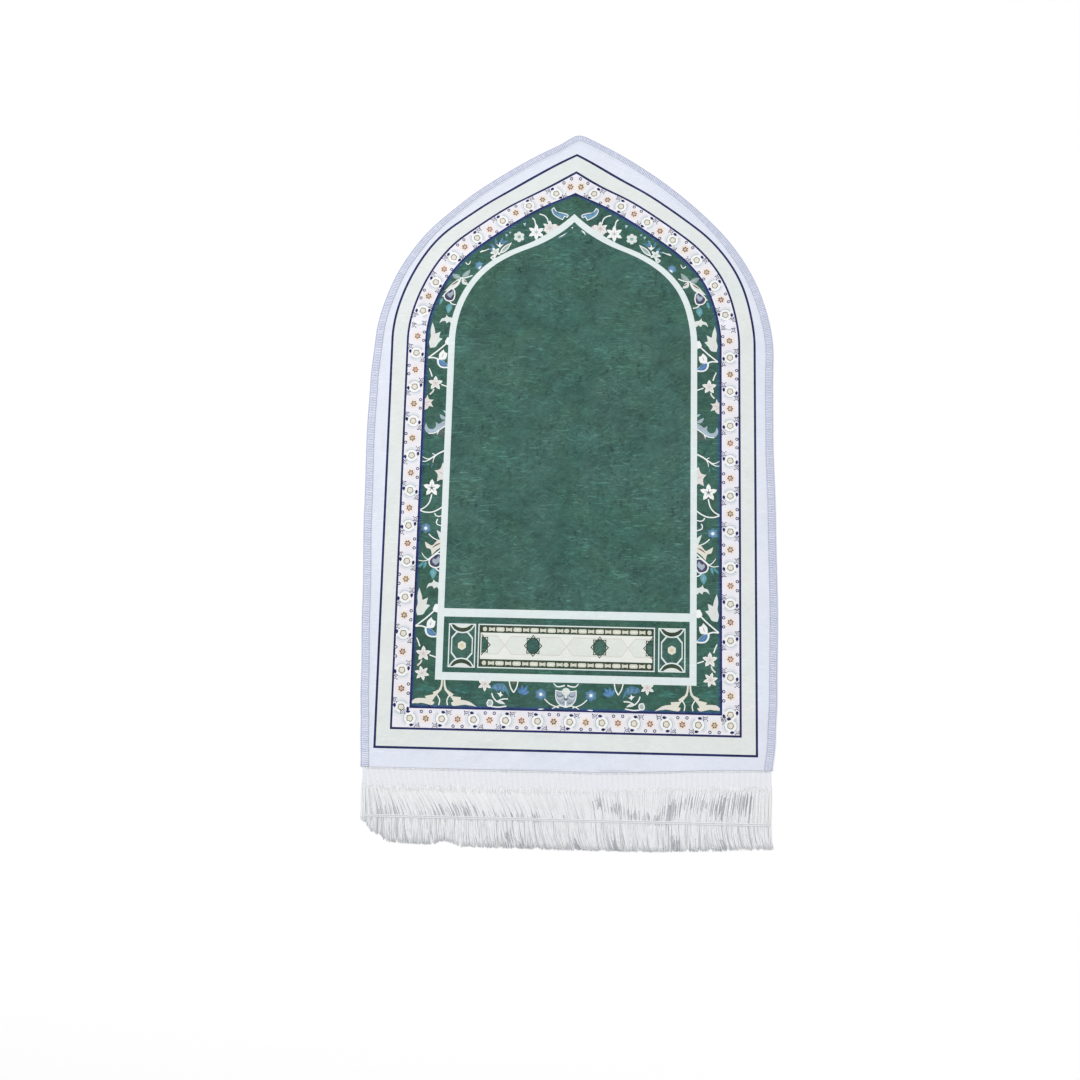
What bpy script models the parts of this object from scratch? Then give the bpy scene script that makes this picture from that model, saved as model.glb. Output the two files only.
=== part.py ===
"""Arch-shaped prayer rug: printed cloth, overlocked edge and a fringe, in metres.

The outlines are worked out with the fringe's seam at Y = 0, the arch's tip towards +Y and the
floor at Z = 0. Every piece is then moved so that the rug's bounding box is centred on the origin.
"""

import math
import random
from collections import namedtuple

import bmesh
import bpy
from mathutils import Vector

MM = 0.001

# The cloth: straight sides, then a pointed arch of two arcs a side with a blunt tip.
CLOTH_HALF_WIDTH = 0.326
CLOTH_THICKNESS = 2.4 * MM
SPRINGING_HEIGHT = 0.666
SHOULDER_RADIUS = 0.321
SHOULDER_TURN = math.radians(44.0)
UPPER_RADIUS = 0.713
TIP_RADIUS = 0.025

# Steps along each stretch of one side of the outline.
SIDE_STEPS = 16
SHOULDER_STEPS = 14
UPPER_STEPS = 10
TIP_STEPS = 4

# How far each side wanders outward from the straight side, at heights above the seam.
Drift = namedtuple("Drift", "height left right")
SIDE_DRIFT = (
    Drift(0.000, -11.3 * MM, -4.0 * MM),
    Drift(0.060, -8.5 * MM, 1.2 * MM),
    Drift(0.120, -5.5 * MM, 4.1 * MM),
    Drift(0.250, -1.5 * MM, 6.0 * MM),
    Drift(0.400, 3.0 * MM, 4.0 * MM),
    Drift(0.530, 5.0 * MM, 1.0 * MM),
    Drift(0.610, 3.5 * MM, 1.0 * MM),
    Drift(0.690, -1.0 * MM, 2.5 * MM),
    Drift(0.780, -4.0 * MM, 1.4 * MM),
    Drift(0.860, -6.2 * MM, 0.5 * MM),
    Drift(0.930, -9.5 * MM, 0.8 * MM),
    Drift(0.985, -13.5 * MM, 1.0 * MM),
    Drift(1.025, -14.0 * MM, 2.0 * MM),
)

# Towards the tip the sides' own drifts give way to one lean to the right, so that they meet.
TIP_LEAN = 3.5 * MM
TIP_REACH = 50.0 * MM

# The seam is drawn up towards the arch at its right end, and the cloth and the heading with it.
Lift = namedtuple("Lift", "place height")
SEAM_LIFT = (Lift(0.030, 0.0), Lift(0.305, 9.0 * MM))
Follow = namedtuple("Follow", "height share")
LIFT_FOLLOW = (
    Follow(-0.073, 0.0),
    Follow(-0.033, 1.0),
    Follow(0.000, 1.0),
    Follow(0.028, 0.0),
)
LIFT_CUTS = 12

# The overlock: thread bound round the pressed edge of the cloth, open to the inside.
OVERLOCK_WIDTH = 13.0 * MM
OVERLOCK_HEIGHT = 2.6 * MM
OVERLOCK_LEG = 0.6 * MM
OVERLOCK_WALL = 0.9 * MM
OVERLOCK_ROUND = 0.7 * MM
PRESSED_SLOPE = 0.7 * MM
GAP = 0.3 * MM

# The fringe: a woven heading with strands of four sides from its front face.
HEADING_LEFT = -0.3115
HEADING_RIGHT = 0.320
HEADING_DEPTH = 33.0 * MM
HEADING_THICKNESS = 2.2 * MM
STRAND_COUNT = 170
STRAND_FILL = 0.70
CHAIN_ROW = 73.0 * MM
FRINGE_LENGTH = 118.0 * MM
RAGGED_ENDS = 5.0 * MM
RAGGED_SEED = 11

# How far strands have slid sideways at the chain row and at their tips, and how much shorter
# they are cut, at places along the heading.
Lie = namedtuple("Lie", "place chain_slide tip_slide cut_short")
STRAND_LIE = (
    Lie(-0.3115, 1 * MM, 2 * MM, 37 * MM),
    Lie(-0.295, 4 * MM, 5 * MM, 19 * MM),
    Lie(-0.270, 7 * MM, 9 * MM, 5 * MM),
    Lie(-0.215, 9 * MM, 11 * MM, 3 * MM),
    Lie(-0.190, 9 * MM, 11 * MM, 9 * MM),
    Lie(-0.165, 8 * MM, 11 * MM, 1 * MM),
    Lie(0.000, 3 * MM, 8 * MM, 0 * MM),
    Lie(0.120, -1 * MM, 1 * MM, 0 * MM),
    Lie(0.230, -4 * MM, -4 * MM, 3 * MM),
    Lie(0.270, -3 * MM, -1 * MM, 6 * MM),
    Lie(0.320, -1 * MM, 3 * MM, 8 * MM),
)
TIP_WAVE = 2.5 * MM
TIP_WAVE_PITCH = 57.0 * MM

# Sections of a strand from its root: share of its own length, its width as a share of the
# root's, and its height above the floor.
Section = namedtuple("Section", "share width height")
STRAND_SECTIONS = (
    Section(0.14, 0.95, 1.9 * MM),
    Section(0.30, 0.90, 1.7 * MM),
    Section(0.47, 0.85, 1.6 * MM),
    Section(0.75, 0.75, 1.4 * MM),
    Section(1.00, 0.45, 0.9 * MM),
)
STRAND_TOP_SHARE = 0.6

# Finishes: colour, roughness.
Finish = namedtuple("Finish", "colour roughness")
CLOTH_FINISH = Finish((0.05, 0.13, 0.10, 1.0), 0.9)
OVERLOCK_FINISH = Finish((0.68, 0.70, 0.85, 1.0), 0.8)
FRINGE_FINISH = Finish((0.84, 0.86, 0.88, 1.0), 0.7)


def clear_scene():
    """Remove every object that the scene starts with."""
    for thing in list(bpy.data.objects):
        bpy.data.objects.remove(thing, do_unlink=True)


def eased(rows, key, value, at):
    """Read a table at a place, easing from each row to the next."""
    if at <= getattr(rows[0], key):
        return getattr(rows[0], value)
    for low, high in zip(rows, rows[1:]):
        start = getattr(low, key)
        end = getattr(high, key)
        if at <= end:
            share = (at - start) / (end - start)
            share = share * share * (3.0 - 2.0 * share)
            return getattr(low, value) * (1.0 - share) + getattr(high, value) * share
    return getattr(rows[-1], value)


def arc_points(centre, radius, start, end, steps):
    """Points along an arc, without its first one."""
    points = []
    for step in range(1, steps + 1):
        angle = start + (end - start) * step / steps
        points.append(centre + Vector((math.cos(angle), math.sin(angle))) * radius)
    return points


def half_outline(inset):
    """Right half of the outline from the seam to the tip, drawn in by inset."""
    half_width = CLOTH_HALF_WIDTH - inset
    points = []
    for step in range(SIDE_STEPS + 1):
        points.append(Vector((half_width, SPRINGING_HEIGHT * step / SIDE_STEPS)))
    shoulder = Vector((CLOTH_HALF_WIDTH - SHOULDER_RADIUS, SPRINGING_HEIGHT))
    turn = Vector((math.cos(SHOULDER_TURN), math.sin(SHOULDER_TURN)))
    upper = shoulder + turn * (SHOULDER_RADIUS - UPPER_RADIUS)
    rise = math.sqrt((UPPER_RADIUS - TIP_RADIUS) ** 2 - upper.x ** 2)
    tip = Vector((0.0, upper.y + rise))
    tip_turn = math.atan2(rise, -upper.x)
    points += arc_points(shoulder, SHOULDER_RADIUS - inset, 0.0, SHOULDER_TURN, SHOULDER_STEPS)
    points += arc_points(upper, UPPER_RADIUS - inset, SHOULDER_TURN, tip_turn, UPPER_STEPS)
    points += arc_points(tip, TIP_RADIUS - inset, tip_turn, math.pi / 2, TIP_STEPS)
    return points


def drifted(point, side):
    """A point of the right half, on the side asked for, with that side's drift."""
    share = min(point.x / TIP_REACH, 1.0)
    share = share * share * (3.0 - 2.0 * share)
    drift = eased(SIDE_DRIFT, "height", "left" if side < 0 else "right", point.y)
    lean = TIP_LEAN * (1.0 - share)
    return Vector((side * (point.x + drift * share) + lean, point.y))


def outline(inset):
    """Whole open outline, from the seam on the left over the tip to the seam on the right."""
    half = half_outline(inset)
    left = [drifted(point, -1) for point in half[:-1]]
    right = [drifted(point, 1) for point in half[:-1]]
    return left + [drifted(half[-1], 1)] + right[::-1]


def rug_centre():
    """Height above the seam of the middle of the rug's length, fringe included."""
    return (half_outline(0.0)[-1].y - FRINGE_LENGTH) / 2


def add_lines(mesh, section):
    """Vertices of one outline for each (inset, height) of a section."""
    lines = []
    for inset, height in section:
        lines.append([mesh.verts.new((p.x, p.y, height)) for p in outline(inset)])
    return lines


def bridge(mesh, line, following):
    """Quads between two neighbouring lines of vertices."""
    for index in range(len(line) - 1):
        mesh.faces.new((line[index], line[index + 1], following[index + 1], following[index]))


def close_openings(mesh):
    """Fill the flat openings that are left, and turn every face outward."""
    rims = [edge for edge in mesh.edges if edge.is_boundary]
    bmesh.ops.holes_fill(mesh, edges=rims, sides=0)
    bmesh.ops.recalc_face_normals(mesh, faces=mesh.faces[:])


def principled(name, finish):
    """A plain material of one finish."""
    material = bpy.data.materials.new(name)
    material.use_nodes = True
    shader = material.node_tree.nodes["Principled BSDF"]
    shader.inputs["Base Color"].default_value = finish.colour
    shader.inputs["Roughness"].default_value = finish.roughness
    shader.inputs["Metallic"].default_value = 0.0
    return material


def seam_lift(point):
    """How far a point is drawn up towards the arch with the right end of the seam."""
    lift = eased(SEAM_LIFT, "place", "height", point.x)
    return lift * eased(LIFT_FOLLOW, "height", "share", point.y)


def cut_across(mesh, place):
    """Cut every face of the mesh along the plane at one place of the rug's width."""
    everything = mesh.verts[:] + mesh.edges[:] + mesh.faces[:]
    bmesh.ops.bisect_plane(mesh, geom=everything, plane_co=(place, 0, 0), plane_no=(1, 0, 0))


def add_piece(name, mesh, finish, collection):
    """Make an object of the mesh, with its own material, centred on the rug's origin."""
    for vert in mesh.verts:
        vert.co.y += seam_lift(vert.co)
    bmesh.ops.translate(mesh, verts=mesh.verts[:], vec=(0.0, -rug_centre(), 0.0))
    data = bpy.data.meshes.new(name)
    mesh.to_mesh(data)
    mesh.free()
    data.materials.append(principled(name, finish))
    piece = bpy.data.objects.new(name, data)
    collection.objects.link(piece)
    return piece


def make_cloth(collection):
    """The printed cloth: one flat sheet, pressed thin where the overlock holds its edge."""
    shoulder = OVERLOCK_WIDTH + GAP
    edge = OVERLOCK_WALL + GAP
    low = OVERLOCK_LEG + GAP
    high = OVERLOCK_HEIGHT - OVERLOCK_LEG - GAP
    section = (
        (shoulder + PRESSED_SLOPE, 0.0),
        (shoulder, low),
        (edge, low),
        (edge, high),
        (shoulder, high),
        (shoulder + PRESSED_SLOPE, CLOTH_THICKNESS),
    )
    mesh = bmesh.new()
    lines = add_lines(mesh, section)
    for line, following in zip(lines, lines[1:]):
        bridge(mesh, line, following)
    mesh.faces.new(lines[0])
    mesh.faces.new(lines[-1])
    close_openings(mesh)
    first = SEAM_LIFT[0].place
    last = SEAM_LIFT[1].place
    for step in range(LIFT_CUTS):
        cut_across(mesh, first + (last - first) * (step + 0.5) / LIFT_CUTS)
    return add_piece("rug_cloth", mesh, CLOTH_FINISH, collection)


def overlock_section():
    """Closed (inset, height) section of the overlock, from its lower inner lip round to it."""
    section = [(OVERLOCK_WIDTH, 0.0)]
    for centre_height, start in ((OVERLOCK_ROUND, 1.5), (OVERLOCK_HEIGHT - OVERLOCK_ROUND, 1.0)):
        for step in range(3):
            angle = math.pi * (start - step * 0.25)
            inset = OVERLOCK_ROUND + OVERLOCK_ROUND * math.cos(angle)
            section.append((inset, centre_height + OVERLOCK_ROUND * math.sin(angle)))
    section += [
        (OVERLOCK_WIDTH, OVERLOCK_HEIGHT),
        (OVERLOCK_WIDTH, OVERLOCK_HEIGHT - OVERLOCK_LEG),
        (OVERLOCK_WALL, OVERLOCK_HEIGHT - OVERLOCK_LEG),
        (OVERLOCK_WALL, OVERLOCK_LEG),
        (OVERLOCK_WIDTH, OVERLOCK_LEG),
    ]
    return section


def make_overlock(collection):
    """The overlocked edge: a folded band round both sides and the arch."""
    mesh = bmesh.new()
    lines = add_lines(mesh, overlock_section())
    for line, following in zip(lines, lines[1:] + lines[:1]):
        bridge(mesh, line, following)
    close_openings(mesh)
    return add_piece("overlock_edge", mesh, OVERLOCK_FINISH, collection)


def strand_slide(root, fallen):
    """Sideways slide of the strand that grows at root, where it is fallen below the seam."""
    chain = eased(STRAND_LIE, "place", "chain_slide", root)
    tip = eased(STRAND_LIE, "place", "tip_slide", root)
    tip += TIP_WAVE * math.sin(math.tau * root / TIP_WAVE_PITCH)
    if fallen <= CHAIN_ROW:
        share = (fallen - HEADING_DEPTH) / (CHAIN_ROW - HEADING_DEPTH)
        return chain * share * share * (3.0 - 2.0 * share)
    share = (fallen - CHAIN_ROW) / (FRINGE_LENGTH - CHAIN_ROW)
    return chain + (tip - chain) * share * share


def grow_strands(mesh, faces, roots, pitch):
    """Draw each face of the heading out along its strand, section by section."""
    ragged = random.Random(RAGGED_SEED)
    lengths = []
    for root in roots:
        cut_short = eased(STRAND_LIE, "place", "cut_short", root)
        lengths.append(FRINGE_LENGTH - cut_short - RAGGED_ENDS * ragged.random())
    lengths[STRAND_COUNT // 2] = FRINGE_LENGTH
    for section in STRAND_SECTIONS:
        drawn = bmesh.ops.extrude_discrete_faces(mesh, faces=faces)["faces"]
        faces = sorted(drawn, key=lambda face: face.calc_center_median().x)
        for face, root, length in zip(faces, roots, lengths):
            middle = face.calc_center_median()
            fallen = HEADING_DEPTH + (length - HEADING_DEPTH) * section.share
            half_width = pitch * STRAND_FILL * section.width / 2
            for vert in face.verts:
                is_top = vert.co.z > middle.z
                reach = half_width * (STRAND_TOP_SHARE if is_top else 1.0)
                side = 1.0 if vert.co.x > middle.x else -1.0
                vert.co.x = root + strand_slide(root, fallen) + side * reach
                vert.co.y = -fallen
                vert.co.z = section.height if is_top else 0.0


def make_fringe(collection):
    """The fringe: the heading and its strands in one piece, all lying on the floor."""
    width = HEADING_RIGHT - HEADING_LEFT
    pitch = width / STRAND_COUNT
    roots = [HEADING_LEFT + pitch * (index + 0.5) for index in range(STRAND_COUNT)]
    mesh = bmesh.new()
    bmesh.ops.create_cube(mesh, size=1.0)
    bmesh.ops.scale(mesh, verts=mesh.verts[:], vec=(width, HEADING_DEPTH - GAP, HEADING_THICKNESS))
    middle = (HEADING_LEFT + width / 2, -(HEADING_DEPTH + GAP) / 2, HEADING_THICKNESS / 2)
    bmesh.ops.translate(mesh, verts=mesh.verts[:], vec=middle)
    for root in roots:
        for side in (-1.0, 1.0):
            cut_across(mesh, root + side * pitch * STRAND_FILL / 2)
    mesh.faces.ensure_lookup_table()
    front = [face for face in mesh.faces if face.normal.y < -0.5]
    front.sort(key=lambda face: face.calc_center_median().x)
    grow_strands(mesh, front[1::2], roots, pitch)
    bmesh.ops.recalc_face_normals(mesh, faces=mesh.faces[:])
    return add_piece("fringe", mesh, FRINGE_FINISH, collection)


def main():
    """Build the rug."""
    clear_scene()
    collection = bpy.data.collections.new("prayer_rug")
    bpy.context.scene.collection.children.link(collection)
    make_cloth(collection)
    make_overlock(collection)
    make_fringe(collection)


main()
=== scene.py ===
"""Arch-shaped prayer rug, dressed: printed crushed velvet, an overlocked edge and a long fringe.

The print is drawn in millimetres on complex numbers: the real part runs to the right of the
print's axis and the imaginary part runs up from the fringe's seam. Everything else is in metres,
with every piece laid round the middle of the rug's length, as the solids are.
"""

import cmath
import logging
import math
import random
from collections.abc import Iterable, Sequence
from dataclasses import dataclass, field
from enum import Enum

import bpy
import numpy
from mathutils import Matrix, Vector
from mathutils.geometry import delaunay_2d_cdt


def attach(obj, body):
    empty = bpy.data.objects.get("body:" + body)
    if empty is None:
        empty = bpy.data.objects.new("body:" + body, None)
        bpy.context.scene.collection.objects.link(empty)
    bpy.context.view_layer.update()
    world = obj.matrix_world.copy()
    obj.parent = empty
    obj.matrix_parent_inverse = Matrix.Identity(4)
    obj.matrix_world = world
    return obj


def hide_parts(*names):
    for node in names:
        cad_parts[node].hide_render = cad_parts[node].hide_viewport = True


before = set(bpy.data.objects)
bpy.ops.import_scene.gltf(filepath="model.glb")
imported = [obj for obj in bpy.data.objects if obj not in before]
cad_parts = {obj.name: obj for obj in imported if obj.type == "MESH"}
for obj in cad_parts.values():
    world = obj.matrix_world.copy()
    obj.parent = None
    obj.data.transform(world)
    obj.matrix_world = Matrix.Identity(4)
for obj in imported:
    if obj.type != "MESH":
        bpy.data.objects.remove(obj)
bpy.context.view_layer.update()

MM = 0.001
UP = Vector((0.0, 0.0, 1.0))
LOG = logging.getLogger("prayer_rug")

Line = list[complex]
Colour = tuple[float, float, float, float]
Socket = bpy.types.NodeSocket


def linear(code: str) -> Colour:
    """Turn a colour code into the linear values that shaders use.

    Args:
        code: Six hexadecimal digits, red first, as a screen shows the colour.

    Returns:
        Linear red, green and blue, and full alpha.
    """
    values = []
    for start in (0, 2, 4):
        shown = int(code[start:start + 2], 16) / 255.0
        is_dark = shown <= 0.04045
        values.append(shown / 12.92 if is_dark else ((shown + 0.055) / 1.055) ** 2.4)
    return (values[0], values[1], values[2], 1.0)


class Ink(Enum):
    """Colours of the print, and of the cloth's backing."""

    MARGIN = "E3E8F4"
    MINT = "E3E8E7"
    CHAIN = "ECEBF1"
    EDGE_WHITE = "F2F1FA"
    NAVY = "282E5C"
    NAVY_FADE = "33507C"
    SPRUCE_FADE = "37586A"
    FIELD = "41645B"
    BORDER = "3D6056"
    FRAME = "E1EBEB"
    WHITE = "F3F5F4"
    PINK = "E2DEDB"
    ROSE = "CDC0BD"
    CREAM = "E3E1D5"
    SAND = "D8CFAE"
    PEACH = "F1E6E0"
    RUST = "95725F"
    OCHRE = "907852"
    BROWN = "7B6460"
    PLUM = "4A4B66"
    BLUE = "5581B0"
    SOFT_BLUE = "58809B"
    SLATE_BLUE = "6D93B4"
    PALE_BLUE = "A9C6D6"
    LILAC = "A5B1BE"
    MIST = "8FB0AA"
    TEAL = "64A0AC"
    DEEP_TEAL = "3F6F69"
    GREY = "AEBAB8"
    DIM = "8CA1A1"
    ARC = "BFC9D3"
    ARC_PALE = "D2D9DE"
    BEAD = "D6D7C8"
    PANEL = "E9ECE6"
    PANEL_LOW = "E1E6E0"
    SLATE = "55646B"
    RING_GREY = "4F4A6A"
    RING_BROWN = "8E8070"
    GHOST = "D6D7CF"
    SHELL = "DDE4E0"
    OLIVE = "3C4B3C"
    DUSK = "4E5B55"
    BACKING = "DAD9D6"
    THREAD = "D6DBEC"
    THREAD_PALE = "DDE1F1"
    THREAD_BLUE = "D2D9EB"
    THREAD_DEEP = "CCD2E6"
    THREAD_LINE = "B6B9D0"
    YARN = "F4F5F7"
    YARN_PALE = "F8F9FB"
    # Painted shade grey: middle yarns, the chain's low cords and some seam stitches.
    YARN_SHADE_GREY = "D6D9DE"
    # Painted shade of the yarns beneath the upper layers.
    YARN_LOW_SHADE = "C9CCD2"
    # Painted shade on yarns deep in a trough.
    YARN_TROUGH_SHADE = "BBBEC4"
    # Painted shade in the heading's rib valleys and along the fold at the seam.
    YARN_VALLEY_SHADE = "D9DCE4"
    # Painted shade of the fold at the seam, on its stitches.
    STITCH_SHADE = "BCC0CA"

    @property
    def colour(self) -> Colour:
        """The ink as linear values."""
        return linear(self.value)


# ----- Shape of the rug -----


def ease(share: float) -> float:
    """Ease a share from 0 to 1, slow at both ends."""
    return share * share * (3.0 - 2.0 * share)


def eased(rows: Sequence[tuple[float, float]], at: float) -> float:
    """Read a table at a place, easing from each row to the next.

    Args:
        rows: (place, value) pairs, in order.
        at: The place asked for.

    Returns:
        The value there.
    """
    if at <= rows[0][0]:
        return rows[0][1]
    for (start, low), (end, high) in zip(rows, rows[1:]):
        if at <= end:
            share = ease((at - start) / (end - start))
            return low * (1.0 - share) + high * share
    return rows[-1][1]


@dataclass(frozen=True)
class RugShape:
    """Outline of the rug, the same as the solids' but with finer steps, in metres."""

    half_width: float = 0.326
    springing: float = 0.666
    shoulder_radius: float = 0.321
    shoulder_turn: float = math.radians(44.0)
    upper_radius: float = 0.713
    tip_radius: float = 0.025
    fringe_length: float = 0.118
    side_steps: int = 80
    shoulder_steps: int = 40
    upper_steps: int = 50
    tip_steps: int = 10
    left_drift: tuple[tuple[float, float], ...] = (
        (0, -11.3), (60, -8.5), (120, -5.5), (250, -1.5), (400, 3.0), (530, 5.0), (610, 3.5),
        (690, -1.0), (780, -4.0), (860, -6.2), (930, -9.5), (985, -13.5), (1025, -14.0),
    )
    right_drift: tuple[tuple[float, float], ...] = (
        (0, -4.0), (60, 1.2), (120, 4.1), (250, 6.0), (400, 4.0), (530, 1.0), (610, 1.0),
        (690, 2.5), (780, 1.4), (860, 0.5), (930, 0.8), (985, 1.0), (1025, 2.0),
    )
    tip_lean: float = 0.0035
    tip_reach: float = 0.050
    seam_lift: tuple[tuple[float, float], ...] = ((0.030, 0.0), (0.305, 9.0))
    lift_follow: tuple[tuple[float, float], ...] = (
        (-0.073, 0.0), (-0.033, 1.0), (0.0, 1.0), (0.028, 0.0),
    )

    def drifted(self, point: Vector, side: int) -> Vector:
        """Place a point of the right half on one side, with that side's drift.

        Args:
            point: The point, right of the axis and above the seam.
            side: -1 for the left side and 1 for the right.

        Returns:
            The point as the rug lies. The sides meet at a tip that leans a little to the right.
        """
        share = ease(min(point.x / self.tip_reach, 1.0))
        drift = eased(self.left_drift if side < 0 else self.right_drift, point.y / MM) * MM
        lean = self.tip_lean * (1.0 - share)
        return Vector((side * (point.x + drift * share) + lean, point.y))

    def half_outline(self, inset: float) -> list[Vector]:
        """Work out the right half of the outline, before it wanders.

        Args:
            inset: How far the line is drawn in from the rug's edge.

        Returns:
            Points from the seam to the tip.
        """
        half_width = self.half_width - inset
        points = []
        for step in range(self.side_steps + 1):
            points.append(Vector((half_width, self.springing * step / self.side_steps)))
        shoulder = Vector((self.half_width - self.shoulder_radius, self.springing))
        turn = Vector((math.cos(self.shoulder_turn), math.sin(self.shoulder_turn)))
        upper = shoulder + turn * (self.shoulder_radius - self.upper_radius)
        rise = math.sqrt((self.upper_radius - self.tip_radius) ** 2 - upper.x ** 2)
        tip = Vector((0.0, upper.y + rise))
        tip_turn = math.atan2(rise, -upper.x)
        arcs = (
            (shoulder, self.shoulder_radius, 0.0, self.shoulder_turn, self.shoulder_steps),
            (upper, self.upper_radius, self.shoulder_turn, tip_turn, self.upper_steps),
            (tip, self.tip_radius, tip_turn, math.pi / 2, self.tip_steps),
        )
        for centre, radius, start, end, steps in arcs:
            for step in range(1, steps + 1):
                angle = start + (end - start) * step / steps
                reach = Vector((math.cos(angle), math.sin(angle))) * (radius - inset)
                points.append(centre + reach)
        return points

    def outline(self, inset: float) -> list[Vector]:
        """Work out the whole open outline.

        Args:
            inset: How far the line is drawn in from the rug's edge.

        Returns:
            Points from the seam on the left, over the tip, to the seam on the right.
        """
        half = self.half_outline(inset)
        left = [self.drifted(point, -1) for point in half[:-1]]
        return left + [self.drifted(point, 1) for point in half[::-1]]

    @property
    def centre(self) -> float:
        """Height above the seam of the middle of the rug's length, fringe included."""
        return (self.half_outline(0.0)[-1].y - self.fringe_length) / 2

    def lay(self, vertices: Iterable[Vector]) -> None:
        """Draw up the seam's right end, and lay everything round the rug's middle.

        Args:
            vertices: Places in metres from the seam, which are moved.
        """
        centre = self.centre
        for vertex in vertices:
            lift = eased(self.seam_lift, vertex.x) * eased(self.lift_follow, vertex.y)
            vertex.y += lift * MM - centre


# ----- Drawing tools for the print -----


# A line through chosen points keeps a corner where it turns by more than this, in radians.
CORNER_TURN = 1.25
# How blunt a corner counts as when an outline is drawn in, and how far its point may then reach.
BLUNTEST = 0.3
LONGEST_MITRE = 1.6
# The mihrab and the foot panel lie a little to the left of the print's axis, in millimetres.
INNER_SHIFT = -0.8


def points_of(row: Sequence[float]) -> Line:
    """Turn (right, up) places that are written in one row into points."""
    return [complex(x, y) for x, y in zip(row[::2], row[1::2])]


def flipped(line: Line) -> Line:
    """The same points on the other side of the axis."""
    return [-point.conjugate() for point in line]


def whole(half: Line) -> Line:
    """Close the right half of an outline, which ends on the axis, with its mirror image."""
    return half + flipped(half[-2::-1])


def is_corner(before: complex, point: complex, after: complex) -> bool:
    """Tell whether a smooth line through three points would turn too sharply.

    Args:
        before: The point before.
        point: The point asked about.
        after: The point after.

    Returns:
        True where the line keeps a corner.
    """
    if before == point or after == point:
        return True
    return abs(cmath.phase((after - point) / (point - before))) > CORNER_TURN


def smooth(points: Line, steps: int = 4, closed: bool = False) -> Line:
    """Draw a smooth curve through chosen points, with a corner at each sharp turn.

    Args:
        points: The points that the curve passes.
        steps: Steps between two neighbouring points.
        closed: True if the curve returns to its first point.

    Returns:
        Points along the curve.
    """
    count = len(points)
    spans = count if closed else count - 1
    curve = []
    for index in range(spans):
        start, end = points[index], points[(index + 1) % count]
        before = points[index - 1] if closed or index else start
        after = points[(index + 2) % count] if closed or index + 2 < count else end
        if is_corner(before, start, end):
            before = start
        if is_corner(start, end, after):
            after = end
        for step in range(steps):
            t = step / steps
            bend = start + (end - before) * t / 2
            bend += (2 * before - 5 * start + 4 * end - after) * t * t / 2
            bend += (3 * start - before - 3 * end + after) * t ** 3 / 2
            curve.append(bend)
    if not closed:
        curve.append(points[-1])
    return curve


def bezier(start: complex, pull: complex, draw: complex, end: complex, steps: int) -> Line:
    """Draw a curve that leaves start towards pull and reaches end from draw.

    Args:
        start: First point.
        pull: Handle of the first point.
        draw: Handle of the last point.
        end: Last point.
        steps: Steps along the curve.

    Returns:
        Points along the curve, both ends included.
    """
    curve = []
    for step in range(steps + 1):
        t = step / steps
        s = 1.0 - t
        curve.append(s ** 3 * start + 3 * s * s * t * pull + 3 * s * t * t * draw + t ** 3 * end)
    return curve


def heading(line: Line, index: int) -> complex:
    """Direction of a line at one of its points, of length 1."""
    along = line[min(index + 1, len(line) - 1)] - line[max(index - 1, 0)]
    return along / abs(along)


def ribbon(line: Line, width: float, end_width: float) -> Line:
    """Outline a stroke along a line.

    Args:
        line: Points along the middle of the stroke.
        width: Width at the line's start.
        end_width: Width at the line's end.

    Returns:
        A closed outline.
    """
    left, right = [], []
    for index, point in enumerate(line):
        share = index / (len(line) - 1)
        reach = heading(line, index) * 1j * (width + (end_width - width) * share) / 2
        left.append(point + reach)
        right.append(point - reach)
    return left + right[::-1]


def drawn_in(outline: Line, by: float) -> Line:
    """Draw a closed outline in by a distance, at least at its gentle corners.

    Args:
        outline: Points anticlockwise round the shape.
        by: How far the new outline lies inside.

    Returns:
        The inner outline.
    """
    inner = []
    for index, point in enumerate(outline):
        onward = outline[(index + 1) % len(outline)] - point
        back = point - outline[index - 1]
        turn = onward / abs(onward) + back / abs(back)
        blunt = max(abs(turn), BLUNTEST)
        inner.append(point + 1j * turn / blunt * by * min(2.0 / blunt, LONGEST_MITRE))
    return inner


def area_of(outline: Line) -> float:
    """Area inside a closed outline, below 0 if it runs clockwise."""
    pairs = zip(outline, outline[1:] + outline[:1])
    return sum((a.conjugate() * b).imag for a, b in pairs) / 2


@dataclass(frozen=True)
class Nudge:
    """A stretch of the print that lies a little off its place, least at its rim, in mm."""

    x: float
    y: float
    wide: float
    high: float
    right: float
    up: float

    def shift(self, point: complex) -> complex:
        """Work out how far the print is moved at a place.

        Args:
            point: The place, before it is moved.

        Returns:
            The move to the right and upward.
        """
        across = (point.real - self.x) / self.wide
        along = (point.imag - self.y) / self.high
        return complex(self.right, self.up) * math.exp(-across * across - along * along)


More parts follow.
